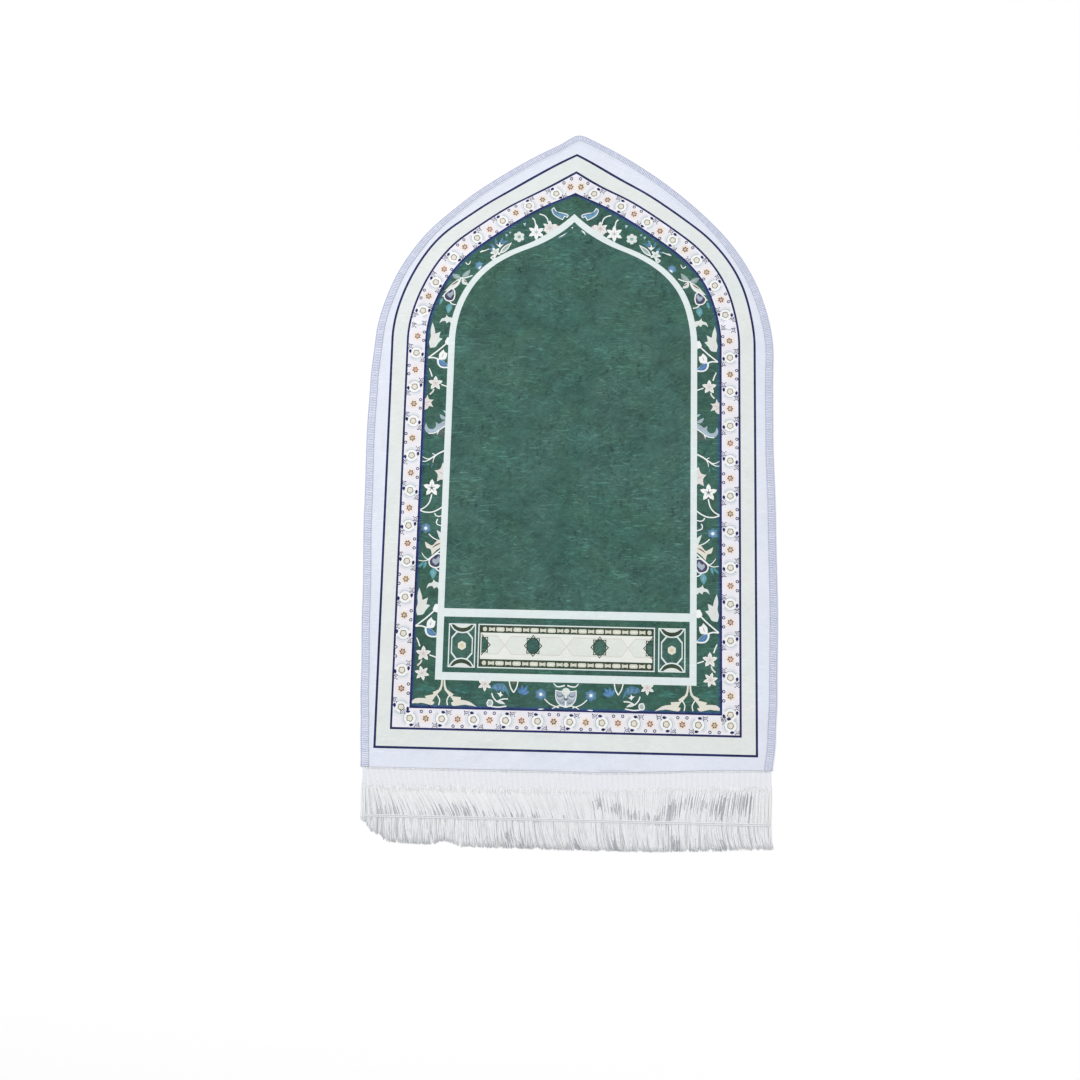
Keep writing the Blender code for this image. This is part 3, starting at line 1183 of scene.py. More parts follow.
@dataclass
class FloralBorder:
    """Flowers, leaves and stems of the green border, the same on both of its halves.

    Places are (right, up) on the right half, in mm. The run at the side comes twice.
    """

    second_run: tuple[float, float] = (1.5, -436.5)
    arch: tuple[Motif, ...] = (
        Patch(Ink.SLATE_BLUE, (39.2, 918.4, 35.2, 922, 30.1, 914.2, 22, 912.6, 13.8, 910.4, 10.2,
            907.2, 12.5, 903, 17.1, 904.9, 20.3, 898.6, 26.8, 901.4, 35, 906.7, 38.7, 913.2),
            Ink.WHITE, 1.4),
        Petal(Ink.SOFT_BLUE, (34.6, 915, 20, 908.4), 2.8, 0.05),
        Petal(Ink.TEAL, (32, 908.5, 20, 903.6), 2.2, 0.03),
        Stem(1.9, (59.9, 907.7, 51.8, 905.4, 46.6, 899.8, 44.7, 892.4)),
        Stem(1.9, (71.8, 900.1, 68, 895.9, 65.9, 885.3)),
        Patch(Ink.PINK, (51, 878, 50, 886, 40, 889, 31, 890, 25, 884, 30, 876, 44, 870)),
        Petal(Ink.BROWN, (36, 890.5, 26, 887.5), 2.4, -0.1),
        Lily(Ink.PINK, 42, 884, 13.2),
        Lily(Ink.WHITE, 65, 875, 14.8, heart=Ink.GREY),
        Rosette(Ink.SHELL, 94, 866, 9.4, Ink.MIST, 3.0),
        Patch(Ink.PALE_BLUE, (88, 890, 82.5, 891, 84, 884.5)),
        Patch(Ink.PALE_BLUE, (117.5, 871, 112.5, 869, 116, 865.6)),
        Patch(Ink.PALE_BLUE, (111.5, 874.5, 107, 874, 109.5, 871)),
        Petal(Ink.SOFT_BLUE, (123, 852, 111, 858), 5.0, -0.1),
        Petal(Ink.SOFT_BLUE, (127, 852, 122, 866), 5.5, 0.1),
        Petal(Ink.SOFT_BLUE, (131, 850, 134, 862), 5.0),
        Petal(Ink.SOFT_BLUE, (134, 846, 143, 852), 5.0),
        Petal(Ink.SOFT_BLUE, (136, 843, 147, 842), 4.0),
        Petal(Ink.SLATE_BLUE, (126, 853, 122, 862), 1.8),
        Petal(Ink.SLATE_BLUE, (136, 847, 141, 849), 1.6),
        Patch(Ink.WHITE, (132.5, 852, 128.2, 851, 126.5, 856, 124.6, 851.3, 119.9, 852, 123.4, 848.6,
            126, 845.8, 129, 848.6)),
        Petal(Ink.GREY, (126, 836, 106, 856), 8.2, 0.0, Ink.WHITE),
        Petal(Ink.MIST, (122, 841, 112, 851), 1.8),
        Lily(Ink.SHELL, 133.5, 838, 9.5, 5, 60, Ink.GREY),
        Patch(Ink.GREY, (142.5, 828, 137.5, 832.6, 132.6, 828, 137.5, 823.6), Ink.WHITE, 1.6),
        Stem(1.9, (159.5, 837.5, 152, 840, 144.3, 843.5), 1.1),
        Stem(1.5, (157.5, 839.6, 151, 840.3)),
        Stem(1.8, (184, 818.6, 180.5, 815.5, 177.5, 817, 175.6, 821.6), 1.1),
        Rosette(Ink.SOFT_BLUE, 161, 814, 7.4, Ink.SLATE_BLUE, 4.6),
        Petal(Ink.WHITE, (162, 808, 157, 813), 3.0),
        Petal(Ink.DIM, (191, 791, 207, 799), 9.0, -0.06),
        Petal(Ink.GREY, (192, 792, 203, 797), 2.4, -0.06),
        Petal(Ink.DIM, (190, 792, 176, 807), 9.0, 0.08),
        Petal(Ink.GREY, (188.5, 794, 179, 803.5), 2.4, 0.08),
        Petal(Ink.SHELL, (191, 791, 218.5, 768.5), 10.0, -0.06),
        Petal(Ink.BROWN, (195, 787.5, 208, 778.5), 2.4, -0.02),
        Petal(Ink.SHELL, (189.5, 790.5, 178.5, 780), 8.2, 0.08),
        Petal(Ink.BROWN, (186.5, 788.5, 179.5, 784.5), 2.2, 0.1),
        Stem(1.8, (191, 791.5, 182, 792.5, 171.7, 796.6)),
        Stem(1.9, (190.5, 793, 196, 782, 205, 772.5, 221, 759.5)),
        Patch(Ink.PLUM, (219.5, 762, 216, 753.5, 209, 751, 202, 753, 199.5, 761, 200.5, 770, 206,
            774.8, 213, 769.5), Ink.WHITE, 1.9),
        Patch(Ink.LILAC, (207.6, 757.4, 213, 761.6, 212.2, 766.4, 208.2, 766, 204.6, 770.4, 202.4,
            764.5)),
        Stem(1.8, (208.5, 751.5, 204, 747, 197.5, 745.6)),
        Petal(Ink.TEAL, (207.3, 748, 209.5, 730), 10.4),
        Petal(Ink.MIST, (208, 742, 208.8, 734), 2.4),
        Petal(Ink.TEAL, (220.5, 757, 225, 744.5), 4.6),
    )
    side: tuple[Motif, ...] = (
        Patch(Ink.SHELL, (222.4, 713, 219.6, 721, 213.6, 723.2, 211.4, 728.6, 208.6, 724.6, 199.8, 722,
            198, 715, 204.2, 713.4, 205.6, 716.6, 211, 713.4, 213, 717.4, 218.4, 716.8)),
        Patch(Ink.SHELL, (233.8, 714.5, 229.4, 703, 228, 695, 219.4, 699, 221.4, 688.8, 215.4, 687,
            222, 679.4, 226.1, 672.6, 235, 671, 237, 681, 235, 690, 236, 702)),
        Petal(Ink.PINK, (231, 676, 231.6, 704), 5.0, 0.02),
        Patch(Ink.WHITE, (211, 681, 207.5, 689.5, 201, 689, 201, 677, 206, 676.5)),
        Stem(2.2, (206, 681.5, 220, 668, 236.8, 654.2)),
        Stem(2.2, (236.8, 653.8, 228, 654.4, 218, 651.4)),
        Patch(Ink.WHITE, (219.4, 652.6, 219, 661.5, 212.4, 668.6, 210.4, 664.4, 206, 662.4, 206.6,
            656.8, 210, 651.6)),
        Petal(Ink.GREY, (214.5, 655, 212.2, 663), 1.6),
        Petal(Ink.BLUE, (222.6, 653.4, 199.5, 638.2), 12.0, 0.12, Ink.WHITE),
        Petal(Ink.SLATE_BLUE, (217, 648.5, 207, 642), 2.4, 0.1),
        Stem(1.5, (234.4, 636, 231.6, 630, 229, 622.5), 2.2),
        Lily(Ink.PINK, 223, 611.5, 12.2, 5),
        Stem(1.8, (213.6, 609.6, 203, 606)),
        Stem(2.4, (225.4, 602, 226.8, 597.5, 231.6, 592.5), ink=Ink.PINK),
    )
    middle: tuple[Motif, ...] = (
        Patch(Ink.PINK, (241.5, 586, 237.6, 585.6, 234.8, 592, 232.4, 584.6, 224.6, 584, 228.8, 579,
            224.8, 571.6, 232, 573.4, 234.6, 568.6, 241.5, 566)),
        Petal(Ink.ROSE, (240, 577.5, 229, 581.5), 2.2),
        Petal(Ink.ROSE, (240, 577, 231, 573), 1.8),
        Patch(Ink.LILAC, (235.4, 545, 231.6, 536.3, 224.3, 535, 219.5, 540, 220.4, 547.4, 214.6, 544,
            209, 548, 202, 551, 202, 541.2, 214, 533, 216.3, 528, 220, 528.8, 228, 527.1, 234.5, 530.1,
            237.6, 537)),
        Stem(1.5, (202.5, 542.5, 214, 533.5, 222, 528.5, 231, 527.6)),
        Stem(1.5, (214.5, 533, 217.4, 524.5), 0.9),
        Stem(1.4, (212, 540, 222, 532.6, 231, 531.8), ink=Ink.PALE_BLUE),
        Petal(Ink.LILAC, (203, 552, 214.4, 560.5), 6.0, -0.1),
        Petal(Ink.PALE_BLUE, (202, 562, 208.8, 566.4), 3.4),
        Patch(Ink.DUSK, (203, 540, 203, 519, 208, 524, 220, 521.6, 216, 527.4, 213.6, 531)),
        Stem(2.3, (203, 500.2, 212, 495.8, 219.8, 490.6, 228, 484.9)),
        Stem(1.9, (226.4, 485.6, 233, 486, 240.4, 490), 0.9),
        Stem(1.9, (226.4, 485.4, 234, 481.6, 240.8, 482), 0.9),
        Stem(1.6, (217, 491.5, 223.6, 495), 0.8),
        Stem(1.8, (218.6, 490.8, 221.2, 485.5, 221.8, 479.5), 0.8),
        Stem(1.0, (228, 477.4, 236, 474.4), 0.6, ink=Ink.TEAL),
        Stem(1.0, (222.6, 477, 224, 471), 0.6, ink=Ink.TEAL),
        Patch(Ink.PINK, (202, 478, 206.4, 479.4, 209.8, 469.6, 218.8, 467, 213.4, 460.4, 214.4, 449,
            207, 452.6, 202, 450)),
        Petal(Ink.ROSE, (203.5, 461, 212.5, 465), 2.2),
        Lily(Ink.WHITE, 222, 438.5, 14.4, 5, heart=Ink.SLATE),
        Stem(2.0, (221.6, 428, 224.6, 416, 231, 407.5, 240, 402.4)),
        Stem(2.0, (240, 402, 231, 399, 220, 399.4, 210.4, 403.6, 202, 409.6)),
        Stem(1.9, (216, 397.6, 213.4, 393.8, 208.4, 392.6, 202, 394.4), 1.5),
        Stem(1.9, (210.6, 388.4, 212.4, 383.4, 210.4, 379.4, 202, 377), 1.5),
        Rosette(Ink.SOFT_BLUE, 229, 373.4, 8.4, Ink.SLATE_BLUE, 5.4),
        Rosette(Ink.WHITE, 229, 373, 2.8, Ink.WHITE, 2.0),
        Stem(1.6, (223.8, 364, 216, 357.4, 203, 352)),
        Petal(Ink.SHELL, (203, 353, 211.6, 370.6), 6.4, 0.1),
        Patch(Ink.CREAM, (229.4, 351.6, 222.8, 347.6, 217.2, 345.6, 210.6, 353, 202, 357.4, 202, 345,
            210, 338.8, 217.6, 330.2, 220, 339.6, 226.6, 342)),
        Petal(Ink.BROWN, (204, 349.6, 218, 340.6), 2.3, 0.08),
        Stem(2.0, (202, 340.6, 213, 331.6, 223.6, 322.4)),
        Stem(1.7, (223, 323, 228.6, 326.6, 233.6, 333.4), 0.9),
        Stem(1.7, (223, 322.6, 230, 320.4, 238.4, 321.6), 0.9),
        Patch(Ink.PLUM, (222.4, 322, 220.6, 313.6, 213, 309.6, 205, 311, 201, 320, 201, 331, 209,
            333.8, 217, 328.4), Ink.WHITE, 1.9),
        Patch(Ink.LILAC, (211, 314.6, 216.4, 319.6, 215, 325, 211, 324, 207, 329.2, 204.4, 321.4)),
        Stem(1.8, (211.6, 310.4, 207, 306, 201.5, 304.4)),
        Petal(Ink.TEAL, (213.4, 310, 214.8, 292), 10.4),
        Petal(Ink.MIST, (213.8, 305, 214.4, 297), 2.6),
        Petal(Ink.TEAL, (226, 319.6, 230, 308), 4.6),
        Petal(Ink.TEAL, (230, 318.6, 238.6, 309.6), 4.0),
    )
    foot: tuple[Motif, ...] = (
        Petal(Ink.DEEP_TEAL, (205, 121, 233, 130), 7.0, -0.1),
        Petal(Ink.DEEP_TEAL, (208, 117, 239, 118), 6.0, 0.08),
        Petal(Ink.DEEP_TEAL, (176, 120, 148, 128.5), 7.0, 0.1),
        Petal(Ink.DEEP_TEAL, (172, 116, 143, 118), 6.0, -0.08),
        Petal(Ink.BORDER, (207, 121.5, 231, 128), 1.6, -0.1),
        Petal(Ink.BORDER, (174, 120, 151, 126), 1.6, 0.1),
        Stem(2.6, (194, 136, 194.6, 126, 197.6, 118.6), 3.4, ink=Ink.CREAM),
        Stem(2.6, (190.4, 136, 189.6, 126, 187, 119), 3.4, ink=Ink.CREAM),
        Patch(Ink.CREAM, (196.5, 121, 207.9, 115.6, 206.7, 112.4, 220.4, 109.4, 218, 106.2, 235, 105.4,
            243, 97, 226, 99, 209.5, 95.8, 204.8, 100.4, 208.7, 101.8, 205, 107.6, 200.6, 113, 193.8,
            121)),
        Patch(Ink.CREAM, (187.4, 121, 175.3, 113, 177.8, 110, 163.6, 109, 164.4, 105, 151.1, 102.7,
            138.6, 94.6, 156, 97.6, 175.3, 95.2, 179, 100.4, 175.3, 101.8, 178.9, 107.7, 184, 112.9,
            190.4, 120.6)),
        Petal(Ink.PINK, (222, 102, 239, 98.6), 4.6),
        Petal(Ink.PINK, (160, 101, 143, 97), 4.6),
        Stem(1.7, (201.4, 112, 197, 104, 198.4, 96)),
        Stem(1.7, (181.6, 112, 185.6, 104, 184.4, 96)),
        Lily(Ink.PINK, 127, 130.0, 11.6, 6, 30),
        Patch(Ink.SOFT_BLUE, (116, 123, 114, 129, 106, 131.6, 97, 131, 91, 121.6, 88, 111, 95, 120.4,
            97.6, 117.6, 103, 121.6, 107.6, 119.4, 111, 122)),
        Petal(Ink.SLATE_BLUE, (112, 130, 108.6, 120.6), 2.4),
        Petal(Ink.SLATE_BLUE, (103.4, 130, 102.8, 121), 2.4),
        Petal(Ink.SLATE_BLUE, (96.6, 130, 97.4, 121), 2.0),
        Patch(Ink.WHITE, (108, 117, 103.6, 116.6, 101.8, 120, 100.4, 115.6, 97.4, 114, 100.6, 112.6,
            102, 110, 104, 113.2)),
        Patch(Ink.GREY, (123.6, 101, 121, 106.6, 114.8, 105.4, 113.4, 99.6, 117, 95.8, 121.8, 96),
            Ink.WHITE, 1.6),
        Stem(1.9, (115.8, 116.4, 113.4, 110, 107.6, 103.4)),
        Stem(1.9, (107.6, 103.4, 98.6, 107.6, 90.2, 108)),
        Stem(1.9, (119, 96.6, 106, 95, 92.4, 97)),
        Petal(Ink.SHELL, (107, 102.6, 94, 99.6), 4.6, -0.1),
        Stem(1.8, (89.2, 136, 86.6, 126, 81.8, 118)),
        Stem(1.8, (75.2, 136, 77.2, 126, 81.8, 118)),
        Petal(Ink.BROWN, (82.4, 137, 82, 130), 3.4),
        Petal(Ink.BLUE, (68, 114.6, 56.6, 120), 6.0, -0.1),
        Petal(Ink.BLUE, (68, 115.6, 60, 129), 6.4),
        Petal(Ink.BLUE, (69, 115.6, 68.4, 130.6), 5.6),
        Petal(Ink.BLUE, (69.4, 115.6, 76, 126.4), 5.2),
        Petal(Ink.SLATE_BLUE, (67.6, 117, 62.4, 126), 2.0),
        Petal(Ink.SLATE_BLUE, (68.8, 118, 68.6, 127), 1.8),
        Petal(Ink.SLATE_BLUE, (66.4, 115.8, 59.4, 119), 1.8),
        Rosette(Ink.SOFT_BLUE, 39.1, 116.4, 9.2, Ink.SLATE_BLUE, 5.8),
        Rosette(Ink.WHITE, 39.1, 116.4, 2.8, Ink.WHITE, 2.0),
        Stem(1.6, (33.2, 109.4, 24, 101.6, 10.4, 96.4)),
        Petal(Ink.WHITE, (43, 93.4, 33, 94), 1.8),
        Stem(2.2, (2, 131, 9, 129, 15, 129.4, 19.6, 134), 1.4),
        Stem(2.2, (0, 97.6, 10, 99.6, 21, 94.8), 1.2),
        Patch(Ink.LILAC, (-0.1, 125.6, 7, 122.4, 16.6, 124, 16.4, 112, 13, 104, 7, 99.4, -0.1, 98),
            Ink.WHITE, 1.2),
        Patch(Ink.SHELL, (-0.1, 127.4, 4.4, 125.6, 6.6, 120.6, 3.4, 116.6, -0.1, 115.6)),
        Stem(1.4, (4.6, 116.8, 7.4, 114.2, 11, 114.2, 14.4, 117.2), 0.8, ink=Ink.SLATE),
        Stem(1.1, (5, 112.6, 9, 110.6, 13.6, 112), ink=Ink.SHELL),
        Patch(Ink.SLATE, (-0.1, 110.6, 2.4, 112.2, 3, 110, -0.1, 107)),
        Stem(1.2, (3, 104.6, 6.4, 103.6, 10, 106.4), 0.6, ink=Ink.DUSK),
        Lily(Ink.PINK, 225.5, 144.5, 11.8, turn=75),
    )

    def draw(self, pen: Pen) -> None:
        """Draw both halves of the border.

        Args:
            pen: A pen at the foot of the print's axis.
        """
        for half in pen.halves:
            second = half.at(*self.second_run)
            runs = ((half, self.arch), (half, self.side), (half, self.middle),
                    (second, self.side), (half, self.foot))
            for start, motifs in runs:
                for motif in motifs:
                    motif.draw(start)


# ----- The printed cloth -----


class Recipe:
    """A material's nodes, added and joined one after another."""

    def __init__(self, name: str) -> None:
        """Start a material.

        Args:
            name: Its name.
        """
        self.material = bpy.data.materials.new(name)
        self.material.use_nodes = True
        self.tree = self.material.node_tree
        self.shader = self.tree.nodes["Principled BSDF"]
        self.place = self.tree.nodes.new("ShaderNodeTexCoord").outputs["Object"]

    def join(self, value: object, socket: bpy.types.NodeSocket) -> None:
        """Feed a socket with another node's output, or set it to a plain value.

        Args:
            value: The output's socket or the plain value.
            socket: The socket that is fed.
        """
        if isinstance(value, bpy.types.NodeSocket):
            self.tree.links.new(value, socket)
        else:
            socket.default_value = value

    def node(self, kind: str, output: str | int, inputs: dict, **settings: str) -> Socket:
        """Add a node.

        Args:
            kind: Its type, without the ShaderNode in front.
            output: Name or number of its output.
            inputs: Value or socket for each of its inputs that is fed, by name or number.
            settings: Its own settings.

        Returns:
            The output's socket.
        """
        node = self.tree.nodes.new("ShaderNode" + kind)
        for name, value in settings.items():
            setattr(node, name, value)
        for key, value in inputs.items():
            self.join(value, node.inputs[key])
        return node.outputs[output]

    def sum(self, operation: str, *values: object) -> Socket:
        """Work out one step of arithmetic from values or sockets."""
        return self.node("Math", 0, dict(enumerate(values)), operation=operation)

    def noise(self, sizes: tuple[float, float], turn: float, detail: float,
              twist: float = 0.0) -> Socket:
        """Cloudy noise, drawn out along one direction.

        Args:
            sizes: Its grain per metre, along its direction and across it.
            turn: Its direction, in degrees to the left of the rug's right.
            detail: Its detail.
            twist: How much it is distorted.

        Returns:
            The noise's socket.
        """
        place = self.node("Mapping", "Vector", {
            "Vector": self.place,
            "Rotation": (0.0, 0.0, math.radians(turn)),
            "Scale": (1.0 / sizes[0], 1.0 / sizes[1], 0.01),
        }, vector_type="TEXTURE")
        inputs = {"Vector": place, "Scale": 1.0, "Detail": detail, "Distortion": twist}
        return self.node("TexNoise", "Fac", inputs)

    def span(self, *values: object) -> Socket:
        """Stretch a value's range to another one, given as value, low, high, start and end."""
        inputs = dict(enumerate(values))
        return self.node("MapRange", "Result", inputs, interpolation_type="SMOOTHSTEP")

    def ink(self) -> Socket:
        """The piece's own colours."""
        return self.node("VertexColor", "Color", {}, layer_name="ink")

    def tinted(self, colour: Socket, shades: Sequence[Socket]) -> Socket:
        """Multiply a colour's red, green and blue, each by a value of its own."""
        mixed = self.node("CombineXYZ", "Vector", dict(enumerate(shades)))
        return self.node("VectorMath", "Vector", {0: colour, 1: mixed}, operation="MULTIPLY")

    def dress(self, colour: object, roughness: float, sheen: float = 0.0,
              specular: float = 0.5) -> bpy.types.Material:
        """Finish the material.

        Args:
            colour: Its colour.
            roughness: Its roughness.
            sheen: Weight of its fuzz.
            specular: Level of its reflection.

        Returns:
            The material.
        """
        for name, value in (
            ("Base Color", colour), ("Roughness", roughness), ("Sheen Weight", sheen),
            ("Sheen Roughness", 0.5), ("Specular IOR Level", specular),
        ):
            self.join(value, self.shader.inputs[name])
        return self.material


@dataclass(frozen=True)
class VelvetFinish:
    """Short crushed velvet that takes its colour from the print."""

    roughness: float = 0.88
    sheen: float = 0.05
    specular: float = 0.12
    # Streaks with a weight above 0 are painted sheen of crushed pile, those below 0 painted shade.
    streaks: tuple[tuple[float, float, float, float], ...] = (
        (62.0, 430.0, 3.0, 0.85),
        (75.0, 480.0, 36.0, 0.5),
        (75.0, 480.0, -28.0, 0.5),
        (180.0, 80.0, 2.0, -0.3),
        (130.0, 170.0, 10.0, -0.26),
    )
    clouds: tuple[tuple[float, float, float], ...] = (
        (13.0, 16.0, 0.62), (42.0, 55.0, 0.7), (120.0, 170.0, 0.55), (330.0, 520.0, 0.35),
    )
    hues: tuple[tuple[tuple[float, float], float], ...] = (
        ((11.0, 19.0), 0.42), ((30.0, 26.0), 0.0), ((24.0, 15.0), 0.336),
    )
    # Light and dark marks of the crushed pile are painted sheen and painted shade; they show on the
    # dark inks and hardly at all on the white ones.
    depth: tuple[float, float, float, float] = (0.05, 0.62, 1.0, 0.1)
    streak: tuple[float, float, float, float] = (0.56, 0.76, 0.0, 1.0)
    cloud_turn: float = 12.0
    hue_turn: float = 70.0
    patch_sizes: tuple[float, float] = (15.0, 17.0)
    patch: tuple[float, float, float, float] = (0.4, 0.62, 0.2, 1.0)
    grain_sizes: tuple[float, float] = (700.0, 1000.0)
    grain_turn: float = 15.0
    grain: float = 0.45
    relief: float = 0.00012
    # Every ink is darkened to this share: painted shade of the pile's own depth.
    pile_shade: float = 0.9

    def material(self, name: str) -> bpy.types.Material:
        """Make the material.

        Args:
            name: Its name.

        Returns:
            A node-based material that reads the piece's own ink colours.
        """
        recipe = Recipe(name)
        ink = recipe.ink()
        green = recipe.node("SeparateColor", "Green", {0: ink})
        depth = recipe.span(green, *self.depth)
        shade = 0.0
        for along, across, turn, weight in self.streaks:
            streak = recipe.span(recipe.noise((along, across), turn, 1.0, 0.5), *self.streak)
            patch = recipe.span(recipe.noise(self.patch_sizes, turn * 2.0, 1.0), *self.patch)
            shade = recipe.sum("MULTIPLY_ADD", recipe.sum("MULTIPLY", streak, patch), weight, shade)
        for along, across, weight in self.clouds:
            cloud = recipe.noise((along, across), self.cloud_turn, 2.0, 0.6)
            cloud = recipe.sum("SUBTRACT", cloud, 0.5)
            shade = recipe.sum("MULTIPLY_ADD", cloud, weight, shade)
        grain = recipe.noise(self.grain_sizes, self.grain_turn, 1.0)
        shade = recipe.sum("MULTIPLY_ADD", recipe.sum("SUBTRACT", grain, 0.5), self.grain, shade)
        factor = recipe.sum("MULTIPLY_ADD", shade, depth, self.pile_shade)
        shades = []
        for sizes, hue in self.hues:
            lean = recipe.sum("SUBTRACT", recipe.noise(sizes, self.hue_turn, 2.0), 0.5)
            lean = recipe.sum("MULTIPLY", recipe.sum("MULTIPLY", lean, depth), hue)
            shades.append(recipe.sum("MULTIPLY_ADD", factor, lean, factor))
        inputs = {"Strength": 1.0, "Distance": self.relief, "Height": grain}
        recipe.join(recipe.node("Bump", "Normal", inputs), recipe.shader.inputs["Normal"])
        colour = recipe.tinted(ink, shades)
        return recipe.dress(colour, self.roughness, self.sheen, self.specular)


@dataclass
class MeshPlan:
    """Vertices, faces and face colours of a piece while it is put together."""

    vertices: list[Vector] = field(default_factory=list)
    faces: list[Sequence[int]] = field(default_factory=list)
    colours: list[Colour] = field(default_factory=list)

    def face(self, corners: Sequence[int], colour: Colour) -> None:
        """Add one face of a colour."""
        self.faces.append(corners)
        self.colours.append(colour)

    def ring(self, places: Iterable[Vector]) -> list[int]:
        """Add vertices.

        Args:
            places: Their places.

        Returns:
            Their numbers.
        """
        first = len(self.vertices)
        self.vertices += places
        return list(range(first, len(self.vertices)))

    def strip(self, first: Sequence[int], second: Sequence[int], colour: Colour) -> None:
        """Join two rows of vertices with faces."""
        for a, b, c, d in zip(first, first[1:], second[1:], second):
            self.face((a, b, c, d), colour)

    def tube(self, points: Sequence[Vector], sizes: Sequence[tuple[float, float]], sides: int,
             colours: Sequence[Colour], across: Vector | None = None) -> None:
        """Add a closed tube along a path.

        Args:
            points: Middle of the tube, from its start to its end.
            sizes: Its reach across and its reach upward at each of those points.
            sides: Number of its sides.
            colours: Colour of each run between two points.
            across: Its crosswise direction, or None for a tube that lies on the floor.
        """
        previous = []
        for index, point in enumerate(points):
            onward = points[min(index + 1, len(points) - 1)] - points[max(index - 1, 0)]
            side = across or onward.cross(UP).normalized()
            up = side.cross(onward).normalized()
            wide, high = sizes[index]
            places = []
            for step in range(sides):
                angle = math.tau * (step + 0.25) / sides
                places.append(point + side * wide * math.cos(angle) + up * high * math.sin(angle))
            ring = self.ring(places)
            if not previous:
                self.face(ring, colours[0])
            for step in range(len(previous)):
                turn = (step + 1) % sides
                corners = (previous[step], ring[step], ring[turn], previous[turn])
                self.face(corners, colours[index - 1])
            previous = ring
        self.face(previous[::-1], colours[-1])

    def thread(self, points: Sequence[Vector], size: tuple[float, float], ink: Ink,
               across: Vector | None = None) -> None:
        """Add a thread of one thickness and one ink along a path."""
        count = len(points)
        self.tube(points, [size] * count, 4, [ink.colour] * count, across)

    def build(self, name: str, material: bpy.types.Material, shape: RugShape) -> bpy.types.Object:
        """Make the piece.

        Args:
            name: Its name.
            material: Its finish, which reads its "ink" colours.
            shape: The rug's shape, in which the piece is laid.

        Returns:
            The object, with its colours and its finish.
        """
        shape.lay(self.vertices)
        mesh = bpy.data.meshes.new(name)
        mesh.from_pydata(self.vertices, [], self.faces)
        mesh.validate()
        layer = mesh.color_attributes.new("ink", "FLOAT_COLOR", "CORNER")
        values = []
        for polygon, colour in zip(mesh.polygons, self.colours):
            values.extend(colour * polygon.loop_total)
        layer.data.foreach_set("color", values)
        mesh.materials.append(material)
        mesh.polygons.foreach_set("use_smooth", [True] * len(mesh.polygons))
        piece = bpy.data.objects.new(name, mesh)
        bpy.context.scene.collection.objects.link(piece)
        LOG.info("%s: %d faces", name, len(self.faces))
        return piece


